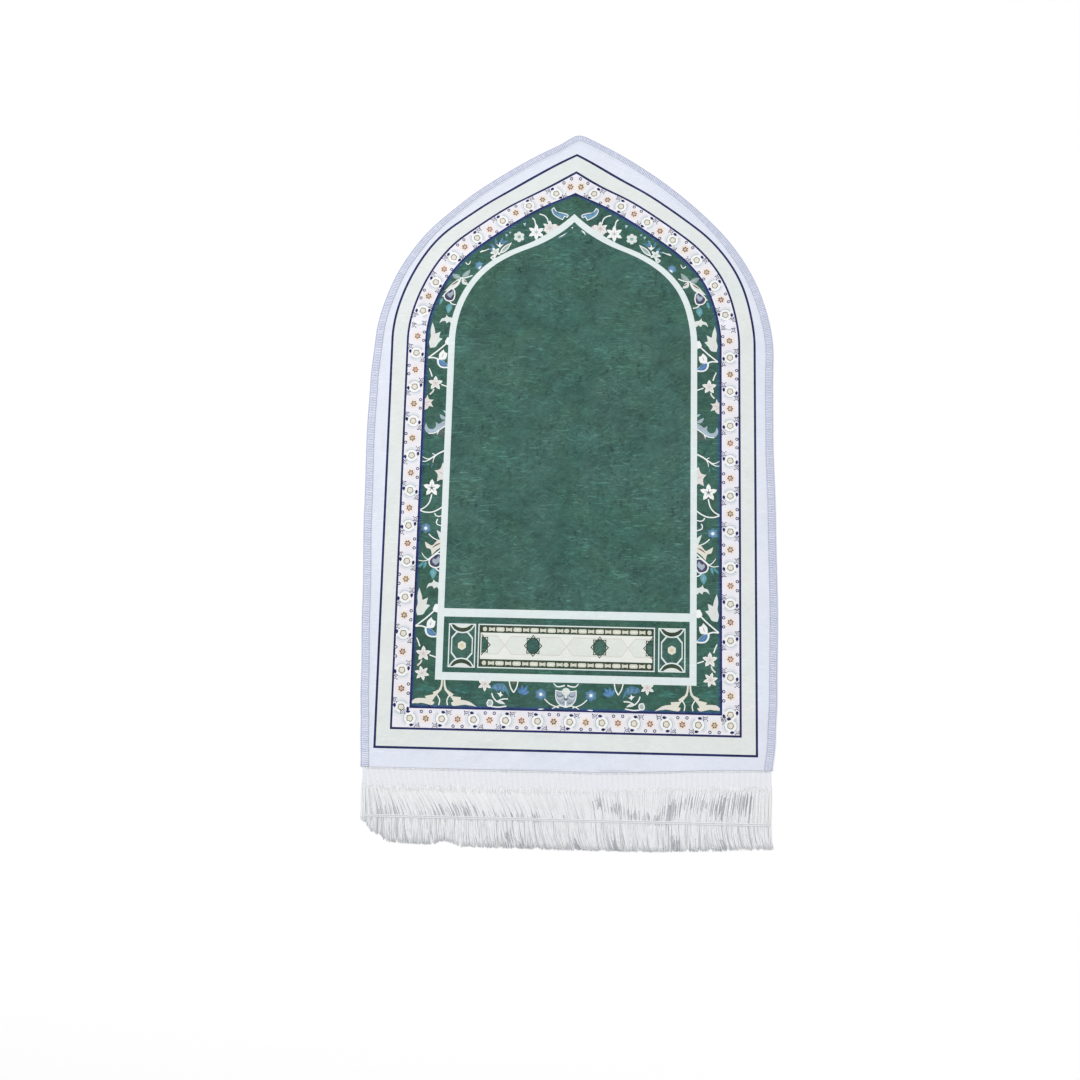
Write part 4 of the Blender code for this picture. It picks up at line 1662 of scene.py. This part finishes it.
@dataclass
class PrintedCloth:
    """The velvet sheet: its printed top, the pressed edge under the overlock and its back."""

    shape: RugShape
    drawing: Drawing
    thickness: float = 2.4 * MM
    top_inset: float = 14.0 * MM
    rim: tuple[tuple[float, float], ...] = (
        (13.05 * MM, 2.35 * MM),
        (13.05 * MM, 1.75 * MM),
        (1.2 * MM, 1.75 * MM),
        (1.2 * MM, 0.9 * MM),
        (13.3 * MM, 0.9 * MM),
        (14.0 * MM, 0.0),
    )
    grid: float = 9.0
    rim_gap: float = 6.0
    tip_gap: float = 20.0
    swell: float = 0.32
    ripple: float = 0.12
    crease: float = 0.55
    crease_at: float = 0.252
    crease_reach: float = 0.005
    sharp: float = math.radians(35.0)

    def lie(self, x: float, y: float) -> float:
        """Height of the cloth's slight unevenness at a place.

        Args:
            x: Place to the right, in metres.
            y: Place above the seam, in metres.

        Returns:
            The rise above the sheet's plain top, in metres.
        """
        swell = math.sin(31.0 * x + 9.0 * y) * math.sin(23.0 * y - 6.0 * x)
        ripple = math.sin(74.0 * y + 5.0 * math.sin(11.0 * x)) * math.sin(17.0 * x + 1.1)
        crease = math.exp(-((y - self.crease_at - 0.012 * x) / self.crease_reach) ** 2)
        return (self.swell * swell + self.ripple * ripple - self.crease * crease) * MM

    def border_line(self) -> list[Vector]:
        """Edge of the printed top, anticlockwise, with steps along the seam.

        Returns:
            Points in metres from the seam's left end along it, then over the arch.
        """
        rim = self.shape.outline(self.top_inset)
        left, right = rim[0], rim[-1]
        steps = round((right.x - left.x) / MM / self.grid)
        foot = [left.lerp(right, step / steps) for step in range(steps)]
        return foot + rim[:0:-1]

    def inside_points(self, rim: list[Vector]) -> list[complex]:
        """Points across the sheet that let it lie unevenly.

        Args:
            rim: The outline of the sheet's top.

        Returns:
            Places in millimetres, some way inside the outline.
        """
        highest = max(point.y for point in rim) / MM
        middle = len(rim) // 2
        left = sorted((point.y / MM, point.x / MM) for point in rim[:middle])
        right = sorted((point.y / MM, point.x / MM) for point in rim[middle:])
        places = []
        row = 1
        while row * self.grid < highest - self.tip_gap:
            height = row * self.grid
            low = numpy.interp(height, [p[0] for p in left], [p[1] for p in left])
            high = numpy.interp(height, [p[0] for p in right], [p[1] for p in right])
            x = low + self.rim_gap + (row % 2) * self.grid / 2
            while x < high - self.rim_gap:
                places.append(complex(x, height))
                x += self.grid
            row += 1
        return places

    def build(self) -> bpy.types.Object:
        """Build the sheet with its print as inked faces.

        Returns:
            The cloth, dressed.
        """
        edge = self.border_line()
        points = [Vector((p.x / MM, p.y / MM)) for p in edge]
        shapes = [list(range(len(points)))]
        for outline in self.drawing.shapes:
            first = len(points)
            points += [Vector((point.real, point.imag)) for point in outline]
            shapes.append(list(range(first, len(points))))
        rim = self.shape.outline(self.top_inset)
        points += [Vector((point.real, point.imag)) for point in self.inside_points(rim)]
        found = delaunay_2d_cdt(points, [], shapes, 1, 1e-4, True)
        places, triangles, origins, sources = found[0], found[2], found[3], found[5]
        inks = [Ink.MARGIN] + self.drawing.inks
        plan = MeshPlan()
        for triangle, source in zip(triangles, sources):
            if source:
                plan.face(triangle, inks[max(source)].colour)
        numbers = {}
        for number, origin in enumerate(origins):
            for given in origin:
                numbers[given] = number
        for place in places:
            x, y = place.x * MM, place.y * MM
            plan.vertices.append(Vector((x, y, self.thickness + self.lie(x, y))))
        top_line = [numbers[index] for index in range(len(edge))]
        self.close(plan, top_line, len(edge) - len(rim) + 1)
        material = VelvetFinish().material("printed_velvet")
        cloth = plan.build("printed_velvet_cloth", material, self.shape)
        cloth.data.set_sharp_from_angle(angle=self.sharp)
        return cloth

    def close(self, plan: MeshPlan, top_line: list[int], steps: int) -> None:
        """Close the sheet with its pressed rim and its back.

        Args:
            plan: The sheet so far, its printed top.
            top_line: Vertex numbers round the top's edge, from the seam's left end.
            steps: Number of steps along the seam.
        """
        margin = Ink.MARGIN.colour
        # The line over the arch, from the seam's right end to its left end.
        previous = top_line[steps:] + top_line[:1]
        lines = [previous]
        for inset, height in self.rim:
            outline = self.shape.outline(inset)[::-1]
            following = plan.ring(Vector((place.x, place.y, height)) for place in outline)
            plan.strip(following, previous, margin)
            previous = following
            lines.append(previous)
        plan.face(previous[::-1], Ink.BACKING.colour)
        ends = [line[-1] for line in lines] + [line[0] for line in lines[:0:-1]]
        plan.face(ends + top_line[steps:0:-1], margin)


# ----- The overlocked edge -----


@dataclass(frozen=True)
class ThreadFinish:
    """Thread or yarn that takes its shades from its piece."""

    roughness: float
    sheen: float
    specular: float
    grain: float = 1400.0
    depth: float = 0.1

    def material(self, name: str) -> bpy.types.Material:
        """Make the material.

        Args:
            name: Its name.

        Returns:
            A node-based material that reads the piece's own colours.
        """
        recipe = Recipe(name)
        fibre = recipe.noise((self.grain, self.grain), 0.0, 2.0)
        shade = recipe.span(fibre, 0.3, 0.7, 1.0 - self.depth, 1.0 + self.depth)
        inputs = {0: recipe.ink(), "Scale": shade}
        colour = recipe.node("VectorMath", "Vector", inputs, operation="SCALE")
        return recipe.dress(colour, self.roughness, self.sheen, self.specular)


@dataclass
class OverlockEdge:
    """Thread bound over the cloth's cut edge: a folded band under close loops."""

    shape: RugShape
    width: float = 13.0 * MM
    height: float = 2.6 * MM
    leg: float = 0.6 * MM
    wall: float = 0.9 * MM
    round: float = 0.7 * MM
    pitch: float = 2.8 * MM
    slant: float = 0.12
    slant_spread: float = 0.05
    thickness: tuple[float, float] = (0.92, 1.08)
    seed: int = 4
    loop: tuple[tuple[float, float], ...] = (
        (13.2, 2.3), (11.6, 2.72), (7.2, 2.9), (2.6, 2.7), (0.45, 1.5), (1.6, 0.5), (4.2, 0.42),
    )
    binding: tuple[tuple[float, float], ...] = ((12.5, 2.95), (1.3, 2.75))
    narrowing: tuple[tuple[float, float], ...] = ((0.84, 1.0), (0.93, 0.8))
    loop_reach: tuple[float, float] = (1.45 * MM, 0.36 * MM)
    loop_middle: float = 6.5
    binding_reach: tuple[float, float] = (0.45 * MM, 0.3 * MM)
    bare_share: float = 0.62
    bare_side: int = 7
    finish: ThreadFinish = ThreadFinish(0.78, 0.1, 0.2)

    def section(self) -> list[tuple[float, float]]:
        """Work out the section of the band.

        Returns:
            Its (inset, height) corners, from its lower inner lip round to it.
        """
        section = [(self.width, 0.0)]
        for height, start in ((self.round, 1.5), (self.height - self.round, 1.0)):
            for step in range(3):
                spot = cmath.rect(self.round, math.pi * (start - step * 0.25))
                section.append((self.round + spot.real, height + spot.imag))
        top = self.height - self.leg
        section += [(self.bare_share * self.width, self.height), (self.width, self.height)]
        section += [(self.width, top), (self.wall, top)]
        return section + [(self.wall, self.leg), (self.width, self.leg)]

    def build(self) -> bpy.types.Object:
        """Build the band and its threads.

        Returns:
            The overlocked edge, dressed.
        """
        plan = MeshPlan()
        ground = Ink.THREAD_DEEP.colour
        lines = []
        for inset, height in self.section():
            line = [Vector((p.x, p.y, height)) for p in self.shape.outline(inset)]
            lines.append(plan.ring(line))
        for number, line in enumerate(lines):
            following = lines[(number + 1) % len(lines)]
            # The inner part of the band's top shows beside the narrow loops, and is cloth.
            colour = Ink.MARGIN.colour if number == self.bare_side else ground
            plan.strip(line, following, colour)
        plan.face([line[0] for line in lines], ground)
        plan.face([line[-1] for line in lines[::-1]], ground)
        self.add_loops(plan)
        outer, inner = self.shape.outline(0.0), self.shape.outline(self.width)
        for inset, height in self.binding:
            path = []
            for edge, lip in zip(outer, inner):
                place = edge.lerp(lip, inset * MM / self.width * eased(self.narrowing, edge.y))
                path.append(Vector((place.x, place.y, height * MM)))
            plan.thread(path, self.binding_reach, Ink.THREAD_LINE)
        return plan.build("overlock_threads", self.finish.material("overlock_thread"), self.shape)

    def add_loops(self, plan: MeshPlan) -> None:
        """Lay a loop of thread over the edge at every stitch.

        Args:
            plan: The piece so far.
        """
        wander = random.Random(self.seed)
        outer, inner = self.shape.outline(0.0), self.shape.outline(self.width)
        gone = 0.0
        due = self.pitch / 2
        for index in range(len(outer) - 1):
            middle = outer[index].lerp(inner[index], 0.5)
            step = outer[index + 1].lerp(inner[index + 1], 0.5) - middle
            along = step.normalized().to_3d()
            while due < gone + step.length:
                share = (due - gone) / step.length
                edge = outer[index].lerp(outer[index + 1], share)
                lip = inner[index].lerp(inner[index + 1], share)
                narrow = eased(self.narrowing, edge.y)
                lean = self.slant + wander.uniform(-self.slant_spread, self.slant_spread)
                points = []
                for inset, height in self.loop:
                    place = edge.lerp(lip, inset * MM / self.width * narrow)
                    shift = along * lean * (inset - self.loop_middle) * MM
                    points.append(Vector((place.x, place.y, height * MM)) + shift)
                wide, high = self.loop_reach
                size = (wide * wander.uniform(*self.thickness), high)
                ink = wander.choice((Ink.THREAD, Ink.THREAD, Ink.THREAD_PALE, Ink.THREAD_BLUE))
                plan.thread(points, size, ink, along)
                due += self.pitch
            gone += step.length


# ----- The fringe -----


@dataclass(frozen=True)
class YarnLayer:
    """One layer of the fringe's yarns, in mm."""

    pitch: float
    height: float
    half: float
    reach: float
    parting: float
    inks: tuple[Ink, ...]


@dataclass(frozen=True)
class Lock:
    """Yarns that cling together, in mm."""

    middle: float
    half: float
    chain_slide: float
    tip_slide: float
    gather: float


@dataclass(frozen=True)
class Trough:
    """A soft dip where the locks part, the yarns under them show and yarn points are inked as painted
    shade, in mm.
    """

    x: float
    fallen: float
    wide: float
    high: float
    parting: float


@dataclass
class Fringe:
    """The bought fringe: a ribbed heading, loose yarns and a chain stitch across them."""

    shape: RugShape
    left: float = -311.5
    right: float = 320.0
    depth: float = 33.0
    chain_row: float = 73.0
    rib_pitch: float = 1.9
    seed: int = 23
    chain_slides: tuple[tuple[float, float], ...] = (
        (-311.5, 1), (-300, 6), (-285, 14), (-250, 22), (-190, 24), (-120, 22), (-50, 19),
        (0, 14), (60, 7), (110, 3), (160, -4), (230, -9), (270, -7), (320, -1),
    )
    tip_slides: tuple[tuple[float, float], ...] = (
        (-311.5, 2), (-300, 8), (-285, 17), (-250, 26), (-190, 27), (-120, 28), (-60, 30),
        (0, 24), (60, 15), (110, 6), (160, -3), (215, -6), (245, 1), (280, 7), (320, 4),
    )
    cut_short: tuple[tuple[float, float], ...] = (
        (-309.5, 37), (-290, 19), (-261, 5), (-204, 3), (-179, 9), (-154, 1), (8, 0), (121, 0),
        (226, 3), (269, 6), (323, 8),
    )
    layers: tuple[YarnLayer, ...] = (
        # Painted shade: the bottom layer's grey, which shows between the upper yarns.
        YarnLayer(1.5, 0.6, 0.85, 0.99, 0.0, (Ink.YARN_LOW_SHADE,)),
        # Painted shade: the middle layer's greys, between the white yarns of the top.
        YarnLayer(1.25, 1.15, 0.66, 1.0, 0.6, (Ink.YARN_SHADE_GREY, Ink.YARN, Ink.YARN_SHADE_GREY)),
        YarnLayer(1.1, 1.7, 0.6, 0.98, 1.0, (Ink.YARN, Ink.YARN_PALE, Ink.YARN_PALE)),
    )
    troughs: tuple[Trough, ...] = (
        Trough(-268, 66, 24, 9, 0.4),
        Trough(-200, 66, 24, 9, 0.4),
        Trough(-158, 60, 28, 11, 0.5),
        Trough(-60, 67, 80, 6, 0.4),
        Trough(56, 44, 11, 10, 0.7),
        Trough(80, 52, 14, 9, 0.65),
        Trough(108, 62, 16, 8, 0.65),
        Trough(142, 67, 18, 7, 0.6),
        Trough(166, 56, 14, 10, 0.6),
        Trough(196, 45, 20, 9, 0.6),
        Trough(238, 50, 18, 12, 0.55),
        Trough(276, 45, 18, 14, 0.7),
        Trough(-84, 104, 12, 16, 0.75),
        Trough(-62, 110, 8, 12, 0.7),
        Trough(-25, 112, 8, 12, 0.6),
        Trough(17, 108, 9, 12, 0.7),
        Trough(79, 106, 10, 16, 0.7),
        Trough(173, 104, 9, 14, 0.7),
        Trough(199, 110, 7, 12, 0.75),
        Trough(242, 106, 7, 12, 0.6),
    )
    finish: ThreadFinish = ThreadFinish(0.6, 0.15, 0.3)
    length: float = 118.0
    lock_halves: tuple[float, float] = (0.9, 3.4)
    chain_spread: float = 0.7
    tip_spread: float = 2.6
    stray_spread: float = 1.2
    most_gather: float = 0.5
    cut_spread: float = 4.0
    root_row: float = 31.5
    root_spread: float = 8.0
    yarn_steps: int = 12
    free_from: float = 34.0
    free_over: float = 39.0
    loose_over: float = 45.0
    heading_rows: tuple[float, ...] = (0.3, 5.0, 10.0, 16.0, 22.0, 28.0, 33.0)
    rib: tuple[tuple[float, float], ...] = ((0.0, 1.5), (0.28, 2.15), (0.5, 2.3), (0.72, 2.15))
    chain: tuple[tuple[float, Ink, float], ...] = (
        # The two grey cords are painted shade lines beside the pale cords.
        (-1.9, Ink.YARN_PALE, 2.4), (-0.6, Ink.YARN_SHADE_GREY, 2.1),
        (0.6, Ink.YARN_PALE, 2.4), (1.8, Ink.YARN_SHADE_GREY, 2.1),
    )
    chain_steps: int = 420
    chain_reach: tuple[float, float] = (0.6 * MM, 0.42 * MM)
    seam_row: float = -2.6
    seam_spread: float = 0.3
    stitch_lengths: tuple[float, float] = (1.8, 4.2)
    stitch_gaps: tuple[float, float] = (0.1, 1.4)

    def slide(self, root: float, fallen: float) -> float:
        """Sideways slide of a yarn.

        Args:
            root: Where it grows, in mm.
            fallen: How far below the seam, in mm.

        Returns:
            The slide to the right, in mm.
        """
        chain = eased(self.chain_slides, root)
        tip = eased(self.tip_slides, root) + 2.5 * math.sin(math.tau * root / 57.0)
        if fallen <= self.chain_row:
            share = max((fallen - self.depth) / (self.chain_row - self.depth), 0.0)
            return chain * share * (1.4 - 0.4 * share)
        share = (fallen - self.chain_row) / (self.length - self.chain_row)
        return chain + (tip - chain) * share * share

    def parting(self, x: float, fallen: float) -> float:
        """Work out how far the locks part at a place.

        Args:
            x: The place to the right, in mm.
            fallen: How far it is below the seam, in mm.

        Returns:
            The share of their width by which they part there.
        """
        total = 0.0
        for trough in self.troughs:
            across = (x - trough.x) / trough.wide
            along = (fallen - trough.fallen) / trough.high
            total += trough.parting * math.exp(-across * across - along * along)
        return total

    def build(self) -> bpy.types.Object:
        """Build the heading, its yarns and its stitches.

        Returns:
            The fringe, dressed.
        """
        plan = MeshPlan()
        self.add_heading(plan)
        wander = random.Random(self.seed)
        for layer in self.layers:
            for lock in self.locks(wander):
                self.add_lock(plan, wander, layer, lock)
        self.add_chain(plan)
        self.add_seam(plan, wander)
        return plan.build("fringe_yarns", self.finish.material("fringe_yarn"), self.shape)

    def add_heading(self, plan: MeshPlan) -> None:
        """Add the woven heading, ribbed across its depth, with painted shade in its rib valleys.

        Args:
            plan: The piece so far.
        """
        ribs = round((self.right - self.left) / self.rib_pitch)
        pitch = (self.right - self.left) / ribs
        rows = []
        for fallen in self.heading_rows:
            places = []
            for rib in range(ribs):
                swell = 0.08 * math.sin(rib * 0.9 + fallen * 0.31) * math.sin(rib * 0.23 + fallen)
                sink = 0.35 if fallen > 30.0 else 0.0
                for share, height in self.rib:
                    x = self.left + pitch * (rib + share)
                    places.append(Vector((x, -fallen, height + swell - sink)) * MM)
            places.append(Vector((self.right, -fallen, 1.5)) * MM)
            rows.append(plan.ring(places))
        for row in (rows[-1], rows[0]):
            flat = [Vector((plan.vertices[number].x, plan.vertices[number].y, 0.0)) for number in row]
            rows.append(plan.ring(flat))
        for row, following in zip(rows, rows[1:] + rows[:1]):
            for index in range(len(row) - 1):
                # Faces in the rib valleys are inked as painted shade.
                ink = Ink.YARN_VALLEY_SHADE if index % 4 in (0, 3) else Ink.YARN
                corners = (row[index], following[index], following[index + 1], row[index + 1])
                plan.face(corners, ink.colour)
        plan.face([row[0] for row in rows[::-1]], Ink.YARN.colour)
        plan.face([row[-1] for row in rows], Ink.YARN.colour)

    def locks(self, wander: random.Random) -> list[Lock]:
        """Divide the fringe into locks.

        Args:
            wander: Source of the locks' small unevenness.

        Returns:
            The locks, from left to right.
        """
        locks = []
        x = self.left
        while x < self.right - 2.0:
            half = min(wander.uniform(*self.lock_halves), (self.right - x) / 2)
            chain, tip = wander.gauss(0.0, self.chain_spread), wander.gauss(0.0, self.tip_spread)
            locks.append(Lock(x + half, half, chain, tip, wander.uniform(0.0, self.most_gather)))
            x += 2.0 * half
        return locks

    def add_lock(self, plan: MeshPlan, wander: random.Random, layer: YarnLayer,
                 lock: Lock) -> None:
        """Lay the yarns of one lock.

        Args:
            plan: The piece so far.
            wander: Source of the yarns' small unevenness.
            layer: The layer that the lock is in.
            lock: The lock.
        """
        count = max(round(2.0 * lock.half / layer.pitch), 2)
        for index in range(count):
            side = 2.0 * (index + 0.5 + wander.uniform(-0.3, 0.3)) / count - 1.0
            root = lock.middle + side * lock.half
            tip = root + self.slide(root, self.length)
            short = eased(self.cut_short, tip) + self.cut_spread * wander.random() ** 2
            length = (self.length - short) * layer.reach
            phase = wander.uniform(0.0, math.tau)
            stray = wander.gauss(0.0, self.stray_spread)
            start = self.root_row - self.root_spread * wander.random()
            ink, shadow = wander.choice(layer.inks), wander.uniform(0.12, 1.1)
            points, sizes, colours = [], [], []
            for step in range(self.yarn_steps + 1):
                share = step / self.yarn_steps
                fallen = start + (length - start) * share
                loose = max((fallen - self.chain_row) / self.loose_over, 0.0)
                free = min(max((fallen - self.free_from) / self.free_over, 0.0), 1.0)
                x = lock.middle + self.slide(lock.middle, fallen)
                # In a trough and towards its tip the lock draws together round its own middle.
                dip = self.parting(x, fallen)
                apart = dip + lock.gather * (0.22 * free + 0.26 * loose)
                x += side * lock.half * (1.0 - apart * layer.parting)
                x += lock.chain_slide * free + (lock.tip_slide + stray) * loose * loose
                x += 0.3 * free * math.sin(fallen * 0.16 + phase)
                z = layer.height + 0.15 * math.sin(fallen * 0.11 + phase) - 0.3 * loose
                z += 0.35 * (1.0 - free) * layer.parting - 0.5 * apart * abs(side)
                half = layer.half * (1.0 - 0.16 * share * share)
                points.append(Vector((x, -fallen, max(z, half))) * MM)
                sizes.append((half * MM, half * MM))
                # Yarn points deep in a trough are inked as painted shade.
                colours.append((Ink.YARN_TROUGH_SHADE if dip > shadow else ink).colour)
            plan.tube(points, sizes, 3, colours)

    def add_chain(self, plan: MeshPlan) -> None:
        """Sew the double chain stitch across the yarns.

        Args:
            plan: The piece so far.
        """
        for row, ink, height in self.chain:
            points = []
            for step in range(self.chain_steps + 1):
                along = (self.right - self.left - 6.0) * step / self.chain_steps
                root = self.left + 4.0 + along
                x = root + self.slide(root, self.chain_row)
                y = -(self.chain_row + row + 0.2 * math.sin(step * math.pi / 2))
                points.append(Vector((x, y, height + 0.15 * math.cos(step * 1.57))) * MM)
            plan.thread(points, self.chain_reach, ink)

    def add_seam(self, plan: MeshPlan, wander: random.Random) -> None:
        """Sew the heading's uneven line of stitches next to the cloth, inked grey as painted shade of
        the fold between cloth and heading.

        Args:
            plan: The piece so far.
            wander: Source of the stitches' small unevenness.
        """
        x = self.left + 4.0
        while x < self.right - 5.0:
            length = wander.uniform(*self.stitch_lengths)
            y = self.seam_row + wander.uniform(-self.seam_spread, self.seam_spread)
            reaches = (0.0, length / 2, length)
            points = [Vector((x + reach, y, 2.3 + reach * 0.03)) * MM for reach in reaches]
            sizes = ((0.3 * MM, 0.1 * MM), (0.6 * MM, 0.3 * MM), (0.3 * MM, 0.1 * MM))
            # The stitches' greys are painted shade of the fold at the seam.
            ink = wander.choice((Ink.YARN_SHADE_GREY, Ink.YARN_SHADE_GREY, Ink.YARN_VALLEY_SHADE, Ink.STITCH_SHADE))
            plan.tube(points, sizes, 4, [ink.colour] * 2)
            x += length + wander.uniform(*self.stitch_gaps)


# ----- Studio -----


@dataclass
class Studio:
    """The pale floor, the soft lights and the camera over the rug."""

    shape: RugShape
    floor_size: float = 12.0
    tilt: float = math.radians(6.8)
    roll: float = math.radians(1.44)
    sideways: float = 0.0464
    along: float = -0.3564
    distance: float = 1.3139
    lens: float = 28.33
    sensor: float = 36.0
    paper: Colour = (0.97, 0.97, 0.97, 1.0)
    paper_roughness: float = 0.9
    room: float = 0.8
    lights: tuple[tuple[str, tuple[float, float, float], float, float], ...] = (
        ("key_light", (-1.3, 1.0, 1.9), 1.4, 20.0),
        ("fill_light", (1.6, -0.6, 2.0), 2.0, 9.0),
    )

    def build(self) -> None:
        """Set up the floor, the lights and the camera."""
        self.add_floor()
        self.add_lights()
        self.add_camera()

    def add_floor(self) -> None:
        """Lay the floor under the rug."""
        half = self.floor_size / 2
        corners = [(-half, -half, 0.0), (half, -half, 0.0), (half, half, 0.0), (-half, half, 0.0)]
        mesh = bpy.data.meshes.new("floor")
        mesh.from_pydata(corners, [], [(0, 1, 2, 3)])
        mesh.materials.append(Recipe("floor_paper").dress(self.paper, self.paper_roughness))
        floor = self.place("floor", mesh)

    def place(self, name: str, data: bpy.types.ID) -> bpy.types.Object:
        """Put a mesh, a light or a camera in the scene.

        Args:
            name: The object's name.
            data: What it shows.

        Returns:
            The object.
        """
        thing = bpy.data.objects.new(name, data)
        bpy.context.scene.collection.objects.link(thing)
        return thing

    def add_lights(self) -> None:
        """Hang two soft lights over the rug, in a pale room."""
        world = bpy.data.worlds.new("room")
        world.use_nodes = True
        background = world.node_tree.nodes["Background"]
        background.inputs["Color"].default_value = (1.0, 1.0, 1.0, 1.0)
        background.inputs["Strength"].default_value = self.room
        bpy.context.scene.world = world
        for name, place, size, power in self.lights:
            data = bpy.data.lights.new(name, "AREA")
            data.shape = "DISK"
            data.size = size
            data.energy = power
            light = self.place(name, data)
            light.location = place
            light.rotation_euler = (-Vector(place)).to_track_quat("-Z", "Y").to_euler()

    def add_camera(self) -> None:
        """Place the camera almost straight above the rug, a little off its middle."""
        seen = Matrix.Rotation(-self.roll, 4, "Z")
        seen @= Matrix.Translation((self.sideways, self.along, -self.distance))
        seen @= Matrix.Rotation(-self.tilt, 4, "X")
        data = bpy.data.cameras.new("camera")
        data.lens = self.lens
        data.sensor_width = self.sensor
        camera = self.place("camera", data)
        camera.matrix_world = Matrix.Translation((0.0, -self.shape.centre, 0.0)) @ seen.inverted()
        bpy.context.scene.camera = camera


def draw_print() -> Drawing:
    """Draw the whole print.

    Returns:
        The drawing, in the order in which its inks lie.
    """
    drawing = Drawing()
    pen = Pen(drawing)
    arch = PrintArch()
    edges = EdgeLines(arch)
    edges.draw(pen)
    FloralBorder().draw(pen)
    edges.draw_inner_line(pen)
    ChainBorder(arch).draw(pen)
    inner = pen.at(INNER_SHIFT, 0.0)
    Mihrab().draw(inner)
    FootPanel().draw(inner)
    return drawing


def main() -> None:
    """Build the rug in its studio."""
    logging.basicConfig(level=logging.INFO, format="%(message)s")
    shape = RugShape()
    pieces = (
        (PrintedCloth(shape, draw_print()).build(), "rug_cloth", "printed_velvet"),
        (OverlockEdge(shape).build(), "overlock_edge", "overlock_thread"),
        (Fringe(shape).build(), "fringe", "fringe_yarn"),
    )
    for piece, node, slot in pieces:
        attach(piece, "root")
        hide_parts(node)
    Studio(shape).build()
    bpy.context.scene.view_settings.view_transform = "Standard"


if __name__ == "__main__":
    main()
